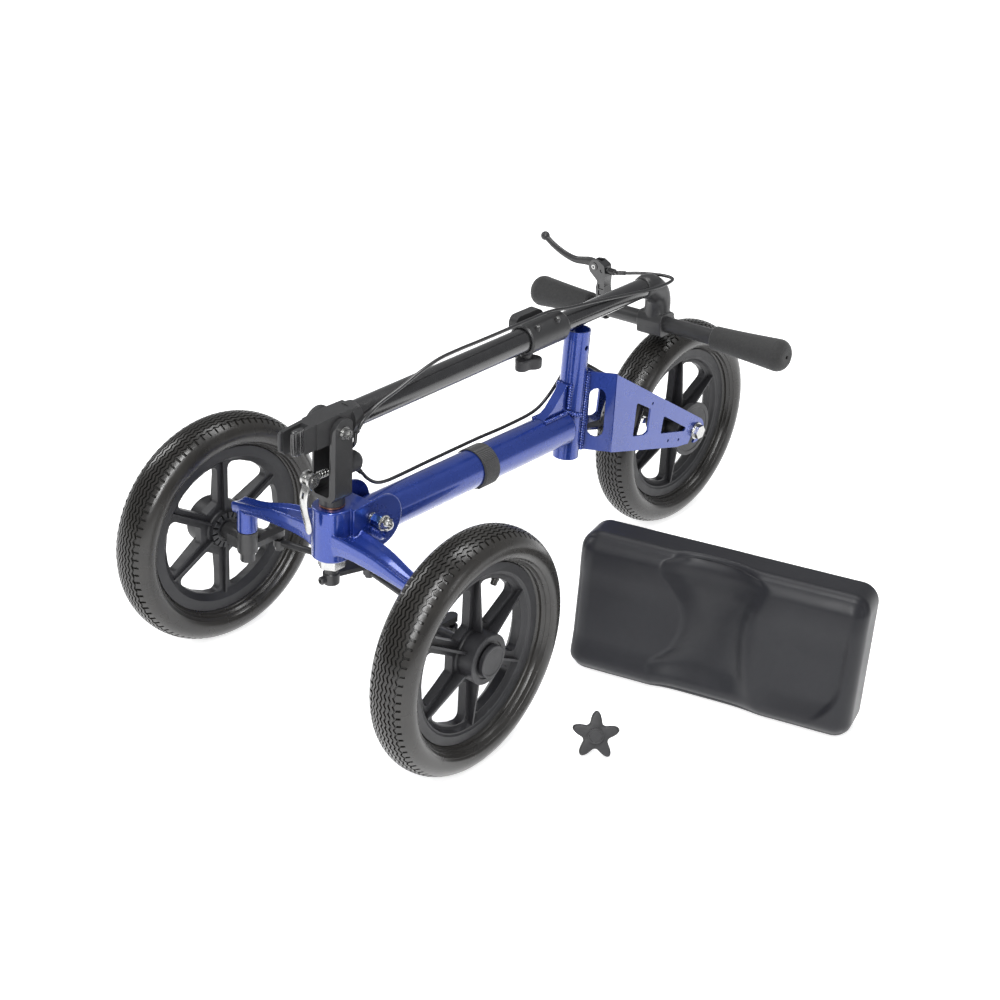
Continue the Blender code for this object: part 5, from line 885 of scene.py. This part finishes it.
# Each stretch of the brake cable: node, body, its ferrules' lengths in metres, its points in millimetres
CABLES = (
    ("brake_cable_lower", "frame", (0.01, 0.014), (
        (-14.2, 41, 291), (-10, 49, 282.5), (-9, 56, 274), (-9, 70, 263.5), (-11, 90, 257), (-17, 125, 252),
        (-21.7, 180, 249.5), (-23, 270, 249.5), (-20, 330, 251), (-16.5, 380, 257), (-20, 415, 269),
        (-21.5, 442, 290), (-20, 453, 301), (-16, 460, 305), (-8, 466.5, 304), (0, 475, 298.5),
        (6, 496, 284), (16, 514, 272.5), (27, 534, 260), (35, 556, 245), (37.2, 585, 225),
        (36.9, 615, 205.5), (36.9, 629, 195.5))),
    ("brake_cable_upper", "upper_column", (0.012, 0.0), (
        (-69.9, 618.7, 375.6), (-56, 618.8, 379), (-29, 618.5, 386.6), (6, 618, 393.5), (25.5, 613, 395),
        (27, 595, 392.5), (24, 570, 391.5), (18.5, 533, 393), (14, 492, 396), (10, 450, 399.2),
        (7.5, 412, 402), (5.5, 374, 406.8), (5.8, 333, 407), (6, 285, 406), (8.5, 233, 406.8),
        (10, 194.5, 407.5), (12, 156, 407), (14.5, 118.5, 401.2), (16.5, 82, 392), (18.5, 46, 384.5),
        (20.8, 25, 377.5), (21.3, 13.5, 370.5), (20.3, 10.5, 364))),
    ("brake_cable_middle", "steering", (0.0, 0.0), (
        (17.2, 8.6, 359.2), (16.8, 8.6, 352), (15.5, 8.6, 344.5), (8, 10, 336.5), (-4, 12.2, 332.5),
        (-12, 15, 326), (-17.5, 22, 314), (-18, 31, 301), (-15, 39, 293))),
)


def hose(points, ends):
    """A cable through the points, with a crimped ferrule of the given length at each end."""
    path = smooth_route(points, CABLE_STEP)
    lengths = [0.0]
    for a, b in zip(path, path[1:]):
        lengths.append(lengths[-1] + (b - a).length)
    total = lengths[-1]
    shoulders = {v + d for v in (ends[0], total - ends[1]) if 0 < v < total
                 for d in (-FERRULE_SHOULDER, FERRULE_SHOULDER)}
    rings = []
    side = None
    for s in sorted(set(lengths) | shoulders):
        i = max(k for k, v in enumerate(lengths) if v <= s + 1e-9)
        i = min(i, len(path) - 2)
        share = (s - lengths[i]) / max(lengths[i + 1] - lengths[i], 1e-9)
        tangent = (path[min(i + 2, len(path) - 1)] - path[max(i - 1, 0)]).normalized()
        if side is None:
            side = tangent.cross(Vector((0.2, 0.3, 0.9))).normalized()
        side = (side - tangent * side.dot(tangent)).normalized()
        size = FERRULE_RADIUS if s < ends[0] or s > total - ends[1] else CABLE_RADIUS
        rings.append(tube_ring(path[i].lerp(path[i + 1], share), side, tangent.cross(side), size, 16))
    return swept(rings)


def build_cables():
    for node, body, ends, route in CABLES:
        obj = solid(node + "_skin", hose([at(*p) for p in route], ends))
        finished(obj, "cable", body, node, angle=50)


def hexagon(name, low, high, radius, place):
    """A nut along its own Z, with both faces chamfered, heights and radius in millimetres."""
    low, high, radius = low / 1000, high / 1000, radius / 1000
    flat, wide, chamfer, past = 0.86 * radius - 0.0003, radius + 0.0006, 0.0016, 0.001
    outline = [(radius * cos(a), radius * sin(a)) for a in circle(6)]
    obj = solid(name, prism(outline, "Z", low, high))
    keep = [(0, low - past), (flat, low - past), (wide, low + chamfer), (wide, high - chamfer),
            (flat, high + past), (0, high + past)]
    combine(obj, "INTERSECT", turned(keep, 48))
    soften(obj, 0.0002, 2, 20)
    obj.data.transform(place)
    return obj


def build_cheek_bolt():
    """The adjusting bolt on the near cheek: a washer, a blue passivated nut and a bright acorn nut."""
    place = move(28.8, 25, 247) @ turn(pi / 2, "Y")
    nut = hexagon("cheek_nut", 5.5, 17.5, 7.6, place @ turn(0.25, "Z"))
    finished(nut, "zinc", "frame", angle=25)
    acorn = [(0, 0), (6.2, 0), (6.2, 2.6), (4.6, 3), (4.6, 20.4), (9.4, 20.4), (9.8, 21.2), (9.8, 22),
             (7.7, 22.6), (7.9, 27.2)]
    for degrees in (5, 25, 45, 65, 80):
        a = radians(degrees)
        acorn.append((7.4 * cos(a), 27.2 + 6.4 * sin(a)))
    lathe("cheek_bolt_skin", acorn + [(0, 33.8)], place, "steel", "frame", "cheek_bolt",
          radius=0.3, segments=48)
    crown = hexagon("acorn_flats", 22.6, 28, 9, place)
    finished(crown, "steel", "frame", angle=25)


def build_rear_details():
    rear = WHEELS["rear"][0] @ SPIN
    plate = [(6.3, 36.5), (40, 36.5), (40, 39.5), (34, 39.5), (33, 38.9), (16, 38.9), (11, 39.6),
             (11, 42.7), (6.3, 42.7)]
    lathe("brake_backplate_skin", plate, rear, "rim", "frame", "brake_backplate", radius=0.7)
    spacer = [(6.3, -42.7), (10, -42.7), (10, -27.3), (6.3, -27.3)]
    lathe("axle_spacer_skin", spacer, rear, "steel", "frame", "axle_spacer", radius=0.6)


# Column and handlebar

TILT = radians(1.163)
COLUMN = move(0, STEER_Y, FOLD_Z) @ turn(TILT, "X")
# The tubes' axis lies this far above the fold's pivot
RISE = 0.0054
AXIS = COLUMN @ shift(0, 0, RISE) @ LONG
BAR_MIDDLE = Matrix.Rotation(-TILT, 3, "X") @ Vector((0, 0.6307, -0.0424))
BAR_ROLL = radians(3.57)
BAR = COLUMN @ Matrix.Translation(BAR_MIDDLE) @ turn(-BAR_ROLL, "Y")


def build_column():
    for node, inner, outer, start, end, place, look, body, segments in (
            ("lower_tube", 14.3, 15.9, 34.3, 400, AXIS, "black_gloss", "column", 96),
            ("upper_tube", 11.9, 13.5, 130, 590, AXIS, "black_gloss", "upper_column", 96),
            ("handlebar", 9.5, 11.1, -212, 212, BAR @ SPIN, "black_satin", "upper_column", 64)):
        pipe = [(inner, start), (outer, start), (outer, end), (inner, end)]
        lathe(node + "_skin", pipe, place, look, body, node, radius=0.3, segments=segments)
    build_collar()
    build_stem_head()
    build_grip("left", 1, 100)
    build_grip("right", -1, 113)


EAR_BOLT_Y = 0.37
EAR_BOLT_Z = 0.02
SPLIT_BOLTS_Y = (0.352, 0.392)
COLLAR_KNOB_Y = 0.348


def build_collar():
    """The clamp on the lower tube: a round sleeve, its far ear, the split and its two small bolts."""
    outline = [(0.0162, 0.337), (0.0188, 0.337), (0.0205, 0.339), (0.0205, 0.409), (0.0175, 0.415),
               (0.0138, 0.415), (0.0138, 0.4003), (0.0162, 0.4003)]
    sleeve = turned(rounded(outline, 0.0012), 72, shift(0, 0, RISE) @ LONG)
    obj = solid("tube_collar_skin", sleeve)
    ear = [(0.345, 0.01), (0.345, 0.029), (0.396, 0.029), (0.403, 0.01)]
    ear = rounded(ear, [0.002, 0.014, 0.014, 0.002], 8)
    join(obj, prism(ear, "X", -0.029, -0.0165))
    cut(obj, pin("X", -0.04, -0.0215, EAR_BOLT_Y, EAR_BOLT_Z, 0.0032, 24))
    join(obj, pin("Z", RISE - 0.0175, RISE - 0.025, 0, COLLAR_KNOB_Y, 0.0085, 40))
    for y in SPLIT_BOLTS_Y:
        join(obj, rod((0.012, y, RISE + 0.0135), (0.0135, y, RISE + 0.0195), 0.004, 24))
    soften(obj, 0.0009, 3, 36)
    finished(obj, "black_satin", "column", "tube_collar", place=COLUMN, angle=45)


def build_collar_bolts():
    """The screw in the clamp's far ear and the two small bolts of its split, as bright heads."""
    bm = pin("X", -0.0235, -0.0215, EAR_BOLT_Y, EAR_BOLT_Z, 0.003, 24)
    for y in SPLIT_BOLTS_Y:
        rod((0.01345, y, RISE + 0.0193), (0.0137, y, RISE + 0.0204), 0.0026, 24, bm)
    obj = solid("collar_bolts", bm)
    soften(obj, 0.0003, 2, 34)
    finished(obj, "steel", "column", place=COLUMN, angle=40)


def build_stem_head():
    """The head that bends up from the tube and splits round the handlebar, with its two clamp bolts."""
    path = [[0.5903, RISE, 90, 0.015, 0.015], [0.6, RISE + 0.0005, 88, 0.0165, 0.0165],
            [0.612, 0.0015, 62, 0.0175, 0.0175], [0.626, -0.01, 35, 0.018, 0.0175],
            [BAR_MIDDLE.y + 0.0015, -0.026, 8, 0.0185, 0.0165],
            [BAR_MIDDLE.y, BAR_MIDDLE.z + 0.006, 0, 0.019, 0.0155]]
    rings = []
    for y, z, lean, half_x, half_y in stations(path, 5):
        a = radians(lean)
        across = Vector((0, cos(a), sin(a)))
        rings.append([Vector((half_x * cos(t), y, z)) + across * (half_y * sin(t))
                      for t in circle(48)])
    obj = solid("stem_head_skin", swept(rings))
    along = Matrix.Rotation(-BAR_ROLL, 3, "Y") @ Vector((1, 0, 0))
    clamp = rounded([(-0.0165, -0.015), (0.0165, -0.015), (0.0172, 0.006), (0.01, 0.017),
                     (-0.012, 0.017), (-0.0172, 0.006)], 0.0045, 5)
    on_bar = Matrix.Translation(BAR_MIDDLE) @ turn(-BAR_ROLL, "Y")
    join(obj, prism(clamp, "X", -0.0205, 0.0205), on_bar)
    for side in (1, -1):
        seat = clamp_seat(side)
        join(obj, rod(seat - Vector((0, 0.0045, 0)), seat, 0.0052, 32))
    melt(obj, 0.0007, 4)
    cut(obj, rod(BAR_MIDDLE - along * 0.05, BAR_MIDDLE + along * 0.05, 0.0114, 64))
    cut(obj, box((-0.03, 0.0135, -0.0006), (0.03, 0.03, 0.0006)), on_bar)
    for low, high in ((-0.0145, -0.0035), (0.0035, 0.0145)):
        cut(obj, box((low, 0.0168, 0.003), (high, 0.03, 0.0105)), on_bar)
    finished(obj, "black_satin", "upper_column", "stem_head", place=COLUMN, angle=45)
    for word, side in (("near", 1), ("far", -1)):
        place = COLUMN @ Matrix.Translation(clamp_seat(side) + Vector((0, 0.0003, 0))) @ LONG
        bolt = [(0, 0), (4.2, 0), (4.2, 5), (2.2, 5), (2.2, 3), (0, 3)]
        lathe("clamp_bolt_%s_skin" % word, bolt, place, "steel", "upper_column", "clamp_bolt_" + word,
              radius=0.4, segments=32)


def clamp_seat(side):
    """Where a clamp bolt's head sits, in the column's frame."""
    x = side * 0.011
    return Vector((x, BAR_MIDDLE.y + 0.0178, BAR_MIDDLE.z + 0.006 + x * sin(BAR_ROLL)))


def build_grip(word, side, start):
    """A foam grip that swells towards a domed end with a small hole in it."""
    tip, dome = 215.3, 14
    profile = [(11.4, start), (15.0, start), (16.5, start + 1.5)]
    for k in range(1, 13):
        t = k / 12
        profile.append((16.5 + 5.5 * t ** 1.3, start + (tip - dome - start) * t))
    for angle in (15, 30, 45, 60, 75):
        a = radians(angle)
        profile.append((22 - 13 * (1 - cos(a)), tip - dome + dome * sin(a)))
    profile += [(8.5, tip), (2.5, tip), (2.5, 212.3), (11.4, 212.3)]
    place = BAR @ turn(side * pi / 2, "Y")
    lathe("grip_%s_skin" % word, profile, place, "grip", "upper_column", "grip_" + word,
          radius=0.5, segments=64, steps=1)


def strip(spine, count):
    """Along a bent strip: its place in two numbers, the direction across it and its half thickness."""
    fine = stations(spine, count)
    for i, (x, z, thick) in enumerate(fine):
        x0, z0, _ = fine[max(i - 1, 0)]
        x1, z1, _ = fine[min(i + 1, len(fine) - 1)]
        yield i, x, z, Vector((z0 - z1, x1 - x0)).normalized(), thick


# The brake lever's pivot on the bar, and the height of the cable's adjuster
LEVER_X = -0.103
LEVER_Z = 0.06
ADJUSTER_Z = 0.056
LEVER_SPINE = [[0.0015, 0.001, 0.007], [-0.012, 0.003, 0.0068], [-0.024, 0.002, 0.0058],
               [-0.04, 0.0005, 0.0052], [-0.06, 0.005, 0.0048], [-0.08, 0.014, 0.0044],
               [-0.095, 0.024, 0.004]]


def build_brake_lever():
    """The lever blade, a smooth bent strip with a ball at its end."""
    rings = []
    for _, x, z, across, t in strip(LEVER_SPINE, 5):
        rings.append([(x + across.x * t * sin(a), 0.004 * cos(a), z + across.y * t * sin(a))
                      for a in circle(20)])
    obj = solid("brake_lever_skin", swept(rings))
    join(obj, pin("Y", -0.004, 0.004, 0, 0, 0.0072, 40))
    ball = bmesh.new()
    bmesh.ops.create_uvsphere(ball, u_segments=32, v_segments=20, radius=0.0065,
                              matrix=shift(LEVER_SPINE[-1][0], 0, LEVER_SPINE[-1][1]))
    join(obj, ball)
    melt(obj, 0.0005, 3)
    cut(obj, pin("Y", -0.02, 0.02, 0, 0, 0.0028, 24))
    place = BAR @ shift(LEVER_X, 0, LEVER_Z)
    finished(obj, "black_satin", "brake_lever", "brake_lever", place=place, angle=45)


def build_brake_bracket():
    """The lever's bracket: a clamp on the bar, a waisted body with pockets and the cable's adjuster."""
    clamp = rounded([(0.0114, -0.099), (0.0155, -0.099), (0.0155, -0.083), (0.0114, -0.083)], 0.0014)
    obj = solid("brake_bracket_skin", turned(clamp, 64, turn(pi / 2, "Y")))
    body = rounded([(-0.0985, 0.0135), (-0.1, 0.03), (-0.097, 0.04), (-0.111, 0.052),
                    (-0.113, 0.06), (-0.108, 0.069), (-0.096, 0.07), (-0.085, 0.064),
                    (-0.0835, 0.048), (-0.085, 0.033), (-0.082, 0.0135)], 0.004, 5)
    join(obj, prism(body, "Y", -0.008, 0.008))
    cut(obj, box((-0.13, -0.0043, 0.046), (-0.0935, 0.0043, 0.08)))
    for side in (1, -1):
        near, far = sorted((side * 0.0066, side * 0.01))
        for low, high in ((0.02, 0.027), (0.029, 0.036)):
            cut(obj, box((-0.0955, near, low), (-0.0865, far, high)))
        join(obj, pin("Y", side * 0.007, side * 0.009, LEVER_X, LEVER_Z, 0.0058, 40))
        cut(obj, pin("Y", side * 0.007, side * 0.01, -0.09, ADJUSTER_Z, 0.0026, 24))
    adjuster = rounded([(0, -0.086), (0.0042, -0.086), (0.0042, -0.072), (0.0032, -0.0715),
                        (0.0032, -0.067), (0, -0.067)], 0.0003, 2)
    join(obj, turned(adjuster, 40, shift(0, 0, ADJUSTER_Z) @ turn(pi / 2, "Y")))
    for k in range(5):
        ring = -0.0825 + 0.0021 * k
        join(obj, pin("X", ring, ring + 0.0011, 0, ADJUSTER_Z, 0.0047, 32))
    soften(obj, 0.0005, 3, 34)
    finished(obj, "black_gloss", "upper_column", "brake_bracket", place=BAR, angle=40)
    screws = solid("bracket_screws", pin("Y", -0.0098, 0.0098, LEVER_X, LEVER_Z, 0.0034, 32))
    for side in (1, -1):
        cut(screws, pin("Y", side * 0.0085, side * 0.012, LEVER_X, LEVER_Z, 0.0017, 6))
    join(screws, pin("Y", -0.0195, -0.012, -0.091, 0.0085, 0.0036, 32))
    soften(screws, 0.0003, 2, 34)
    finished(screws, "steel", "upper_column", place=BAR, angle=40)


def build_spring():
    """The quick release spring, wound round its rod."""
    start, end, turns, steps, radius = -36.0, -0.4, 8, 28, 4.2
    points = []
    for k in range(turns * steps + 1):
        a = 2 * pi * k / steps
        y = start + (end - start) * k / (turns * steps)
        points.append(at(radius * cos(a), y, RELEASE_Z + radius * sin(a)))
    curve = bpy.data.curves.new("release_spring_skin", "CURVE")
    curve.dimensions = "3D"
    curve.bevel_depth = 0.0006
    curve.bevel_resolution = 4
    curve.use_fill_caps = True
    spline = curve.splines.new("POLY")
    spline.points.add(len(points) - 1)
    for point, place in zip(spline.points, points):
        point.co = (*place, 1.0)
    curve.materials.append(LOOKS["steel"])
    obj = new_object("release_spring_skin", curve)
    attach(obj, "steering")
    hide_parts("release_spring")


def build_release_lever():
    """The cam lever: two round cheeks on a pin and a curved blade with a slot at its root."""
    spine = [[-3.4, -6.0, 3.4], [-7.4, -14.5, 2.9], [-9.3, -23.0, 2.3], [-9.2, -32.0, 1.9],
             [-7.0, -43.0, 1.8], [-3.6, -54.0, 1.9], [-1.8, -63.0, 1.9], [-1.4, -71.0, 1.3]]
    section = ((-1, -0.5), (-1, 0.5), (-0.8, 1.0), (0, 0.8), (0.8, 1.0), (1, 0.5), (1, -0.5), (0.8, -1.0),
               (0, -1.2), (-0.8, -1.0))
    per_row = 6
    last = (len(spine) - 1) * per_row
    rings = []
    for i, y, z, across, t in strip(spine, per_row):
        past = max(0, i - (last - 8)) / 8.4
        half = 0.006 * sqrt(max(0.0, 1 - past ** 2))
        across = across * t / 1000
        rings.append([(x * half, y / 1000 + k * across.x, z / 1000 + k * across.y) for x, k in section])
    obj = solid("release_lever_skin", swept(rings))
    for side in (1, -1):
        join(obj, pin("X", side * 0.003, side * 0.0068, 0, 0, 0.0095, 56))
        join(obj, pin("X", side * 0.0066, side * 0.0076, 0, 0, 0.004, 32))
    join(obj, pin("X", -0.004, 0.004, 0, 0, 0.007, 40))
    cut(obj, box((-0.0018, -0.03, -0.0215), (0.0018, 0.01, -0.0135)))
    soften(obj, 0.0005, 3, 40)
    finished(obj, "steel", "release_lever", "release_lever", place=move(0, -48, RELEASE_Z), angle=38)


BARREL_X = 0.0081
BARREL_Y = -0.063


def build_hinge_block():
    """The block in the clevis: its tail slopes down to the front, its near prong has a ribbed barrel."""
    obj = node_copy("hinge_block")
    wedge = [(-0.09, 0.0165), (-0.073, 0.0172), (0.015, 0.0243), (0.015, 0.035), (-0.09, 0.035)]
    cut(obj, prism(wedge, "X", -0.02, 0.02), COLUMN)
    cut(obj, box((0.005, -0.09, -0.02), (0.02, -0.056, 0.03)), COLUMN)
    soften(obj, 0.0014, 3, 32)
    finished(obj, "black_satin", "column", "hinge_block")
    outline = []
    for a in circle(56):
        rib = 0.00035 * cos(14 * a)
        outline.append(((0.0035 + rib) * cos(a), (0.0105 + rib) * sin(a)))
    rings = []
    for z, share in ((-0.01, 0.55), (-0.0092, 0.72), (-0.007, 0.88), (-0.003, 0.97), (0.003, 1.0),
                     (0.013, 1.0), (0.019, 0.97), (0.0212, 0.88), (0.0222, 0.7)):
        rings.append([(BARREL_X + x * share, BARREL_Y + y * share, z) for x, y in outline])
    barrel = solid("block_pad_skin", swept(rings), COLUMN)
    finished(barrel, "black_gloss", "column", "block_pad", angle=50)


# Knobs

def lobed(count, mean, depth, offset, steps, power=1.0):
    """An outline with a number of equal lobes."""
    out = []
    for a in circle(count * steps):
        r = mean + depth * (2 * ((1 + cos(count * a)) / 2) ** power - 1)
        out.append((r * cos(a + offset), r * sin(a + offset)))
    return out


# The star knob's mean radius, against which a knob's rims draw in
KNOB_REACH = 0.0225


def pillow(outline, low, high, edge, crown=0.0):
    """A lobed knob: rounded at both rims, with a crowned top."""
    rises = [pi / 2 * k / 6 for k in range(7)]
    layers = [(1 - edge * (1 - sin(a)) / KNOB_REACH, low + edge * (1 - cos(a))) for a in rises]
    layers += [(1 - edge * (1 - cos(a)) / KNOB_REACH, high - edge * (1 - sin(a))) for a in rises]
    layers += [(share, high + crown * (1 - share)) for share in (0.75, 0.5, 0.25)]
    return swept([[(x * share, y * share, z) for x, y in outline] for share, z in layers])


STAR = move(311.5, 121.5, 25.2) @ turn(radians(39), "Z") @ turn(pi / 2 - radians(29), "X")


def build_star_knob():
    outline = lobed(5, KNOB_REACH, 0.0068, pi / 2, 26, 1.4)
    obj = solid("star_knob_skin", pillow(outline, -0.0065, 0.0065, 0.0028, 0.0008))
    boss = [(0, 0.004), (0.0095, 0.004), (0.0095, 0.0113), (0.0078, 0.0113), (0.0072, 0.0106), (0, 0.0106)]
    join(obj, turned(rounded(boss, 0.0004), 64))
    cut(obj, pin("Z", -0.03, -0.001, 0, 0, 0.0043, 32))
    finished(obj, "plastic", "star_knob", "star_knob", place=STAR, angle=40)
    thread = [(0, -1.3), (4, -1.3), (4, -8.0)]
    for k in range(33):
        thread += [(4.0, -8.4 - k), (3.45, -8.9 - k)]
    thread += [(3.2, -44.0), (0, -44.0)]
    lathe("star_knob_stud_skin", thread, STAR, "steel", "star_knob", "star_knob_stud",
          radius=0, segments=40)


def build_collar_knob():
    top = RISE - 0.0205 - 0.0045 - 0.0003
    outline = lobed(3, 0.016, 0.0045, radians(40), 28)
    obj = solid("collar_knob_skin", pillow(outline, top - 0.015, top, 0.003))
    join(obj, pin("Z", top - 0.001, RISE - 0.0159 - 0.0006, 0, 0, 0.003, 24))
    place = COLUMN @ shift(0, COLLAR_KNOB_Y, 0)
    finished(obj, "plastic", "collar_knob", "collar_knob", place=place, angle=40)


def build_knobs():
    build_star_knob()
    build_collar_knob()
    fold = [(4.3, 0), (17, 0), (20, 3), (20, 6), (16, 10), (0, 11.5), (0, 1.3), (4.3, 1.3)]
    lathe("fold_knob_skin", fold, move(-19.3, STEER_Y, FOLD_Z) @ turn(-pi / 2, "Y"), "plastic", "fold_knob",
          "fold_knob", radius=1.0, steps=4)
    nut = [(2.8, 18.3), (13, 18.3), (13, 37), (9, 42), (0, 43), (0, 29), (2.8, 29)]
    lathe("release_nut_skin", nut, move(0, STEER_Y, RELEASE_Z) @ LONG, "plastic", "release_nut",
          "release_nut", radius=0.9, steps=4)
    ring = [(12.8, 0), (15.5, 0), (15.5, 2.4), (12.8, 2.4)]
    lathe("head_ring_skin", ring, move(0, STEER_Y, 266.3), "copper", "frame", "head_ring")


# Knee pad

PAD = move(173.5, 232.3, 5.6) @ turn(radians(16.7), "Z") @ turn(-radians(5), "X")
PAD_SIZE = (0.368, 0.077, 0.19)
# The saddle's two long edges: place up the pad and place along it, as shares of its size
SADDLE_LEFT = ((0.0, 0.3), (0.117, 0.296), (0.205, 0.29), (0.26, 0.319), (0.337, 0.357), (0.48, 0.386),
               (0.59, 0.388), (0.689, 0.372), (0.78, 0.34), (0.848, 0.306), (0.93, 0.3), (1.0, 0.33))
SADDLE_RIGHT = ((0.0, 0.69), (0.16, 0.662), (0.258, 0.642), (0.374, 0.621), (0.513, 0.611), (0.621, 0.612),
                (0.72, 0.63), (0.839, 0.656), (0.915, 0.664), (0.974, 0.64), (1.0, 0.62))


def follow(table, v):
    """A smooth value from a table of places and values."""
    places = [p for p, _ in table]
    i = max(0, min(len(table) - 2, sum(1 for p in places if p <= v) - 1))
    t = (v - places[i]) / (places[i + 1] - places[i])
    p0, p1, p2, p3 = (table[min(max(k, 0), len(table) - 1)][1] for k in range(i - 1, i + 3))
    return between(p0, p1, p2, p3, t)


def soft_step(value, low, high):
    t = min(max((value - low) / (high - low), 0.0), 1.0)
    return t * t * (3 - 2 * t)


def wall(distance, reach, soften_by):
    """How deep a wall has sunk at a distance inside its edge, in metres; crisp at the edge."""
    inside = soften_by * log1p(exp(min(distance / soften_by, 60)))
    return 1 - exp(-(inside / reach) ** 1.25)


def pad_depth(u, v):
    """How far the face lies behind its flat plane: the saddle, the two basins and the rolled long edges."""
    length = PAD_SIZE[0]
    left = wall((u - follow(SADDLE_LEFT, v)) * length, 0.015, 0.001)
    right = wall((follow(SADDLE_RIGHT, v) - u) * length, 0.022, 0.0026)
    runout = (0.34 + 0.66 * soft_step(v, -0.12, 0.62)) * (1 - 0.25 * soft_step(v, 0.82, 1.0))
    saddle = 0.0215 * left * right * runout
    band = soft_step(v, 0.06, 0.27) * (1 - soft_step(v, 0.6, 0.93))
    rim = 0.962 - 0.06 * (max(0.0, 0.42 - v) / 0.27) ** 2
    ridge = soft_step(u, 0.58, 0.66) * (1 - soft_step(u, 0.66, 0.75))
    band *= (1 - soft_step(u, rim - 0.026, rim + 0.004)) * (1 - ridge)
    basin = 0.0068 * band
    roll = 0.0095 * soft_step(v, 0.74, 1.08) + 0.006 * (1 - soft_step(v, -0.04, 0.14))
    return saddle + basin + roll


def pad_edge(u, v, w):
    """A point on a block with rounded edges, larger in front than behind."""
    length, thick, height = PAD_SIZE
    edge, back_edge = 0.023, 0.0138
    x, y, z = u * length, w * thick, v * height
    depth = back_edge if y > thick / 2 else edge
    inner = Vector((min(max(x, edge), length - edge), min(max(y, edge), thick - back_edge),
                    min(max(z, edge), height - edge)))
    out = Vector((x, y, z)) - inner
    reach = Vector((out.x / edge, out.y / depth, out.z / edge))
    longest = max(abs(reach.x), abs(reach.y), abs(reach.z))
    if longest > 0:
        unit = reach.normalized() * longest
        out = Vector((unit.x * edge, unit.y * depth, unit.z * edge))
    return inner + out


def pad_point(u, v, w):
    point = pad_edge(u, v, w)
    point.y += pad_depth(u, v) * (1 - w) ** 2
    point.y += 0.0004 * noise.noise(Vector((u * 9, v * 5, w * 2)))
    return point


def closer(index, count):
    """An even step moved towards the nearer end, so that the rounded edges get the finer mesh."""
    t = index / count
    return t - 0.22 * sin(2 * pi * t) / (2 * pi)


def build_knee_pad():
    """The moulded pad, as a closed skin over the six sides of a fine grid, with a seat for its board."""
    steps = (170, 96, 30)
    bm = bmesh.new()
    seen = {}

    def vertex(*key):
        if key not in seen:
            seen[key] = bm.verts.new(pad_point(*(closer(k, n) for k, n in zip(key, steps))))
        return seen[key]

    for first, second, fixed in ((0, 1, 2), (0, 2, 1), (1, 2, 0)):
        for i in range(steps[first]):
            for j in range(steps[second]):
                for k in (0, steps[fixed]):
                    corner = [0, 0, 0]
                    corner[fixed] = k
                    face = []
                    for a, b in ((0, 0), (1, 0), (1, 1), (0, 1)):
                        corner[first], corner[second] = i + a, j + b
                        face.append(vertex(*corner))
                    bm.faces.new(face)
    obj = solid("knee_pad_skin", bm)
    cut(obj, box((0.0177, 0.0707, 0.0177), (0.3503, 0.09, 0.1723)))
    finished(obj, "pad", "knee_pad", "knee_pad", place=PAD, angle=50, weighted=False)


# The remaining nodes

# A node, its look, its body and how far its edges are rounded, in millimetres
REFINED = (
    ("cheek_bush", "blue", "frame", 0.3), ("seat_gusset", "blue", "frame", 0.8),
    ("fork_plate_left", "blue", "frame", 0.5), ("fork_plate_right", "blue", "frame", 0.5),
    ("rear_axle", "steel", "frame", 0.5), ("cable_stop", "black_satin", "frame", 0.3),
    ("clevis", "black_satin", "steering", 1.0), ("stem_nut", "steel", "steering", 0.8),
    ("pitman_arm", "black_satin", "steering", 0.6), ("fold_bolt", "steel", "steering", 0.5),
    ("release_rod", "steel", "steering", 0.4), ("tie_rod_left", "black_satin", "tie_rod_left", 0.5),
    ("tie_rod_right", "black_satin", "tie_rod_right", 0.5),
    ("knuckle_left", "black_satin", "knuckle_left", 0.9),
    ("knuckle_right", "black_satin", "knuckle_right", 0.9), ("brake_arm", "steel", "brake_arm", 0.3),
    ("block_bumper", "plastic", "column", 0.5), ("pad_base", "plastic", "knee_pad", 0.6),
)


def build_refined():
    """The remaining nodes, with their hard edges rounded."""
    for node, look, body, width in REFINED:
        obj = node_copy(node)
        normals = obj.data.attributes.get("custom_normal")
        if normals is not None:
            obj.data.attributes.remove(normals)
        soften(obj, width / 1000)
        finished(obj, look, body, node)


add_camera()
add_studio()
LOOKS = make_looks()
build_wheels()
build_head_casting()
build_tubes()
build_welds()
build_strap()
build_cables()
build_rear_details()
build_column()
build_brake_lever()
build_spring()
build_collar_bolts()
build_brake_bracket()
build_cheek_bolt()
build_release_lever()
build_hinge_block()
build_knobs()
build_knee_pad()
build_refined()
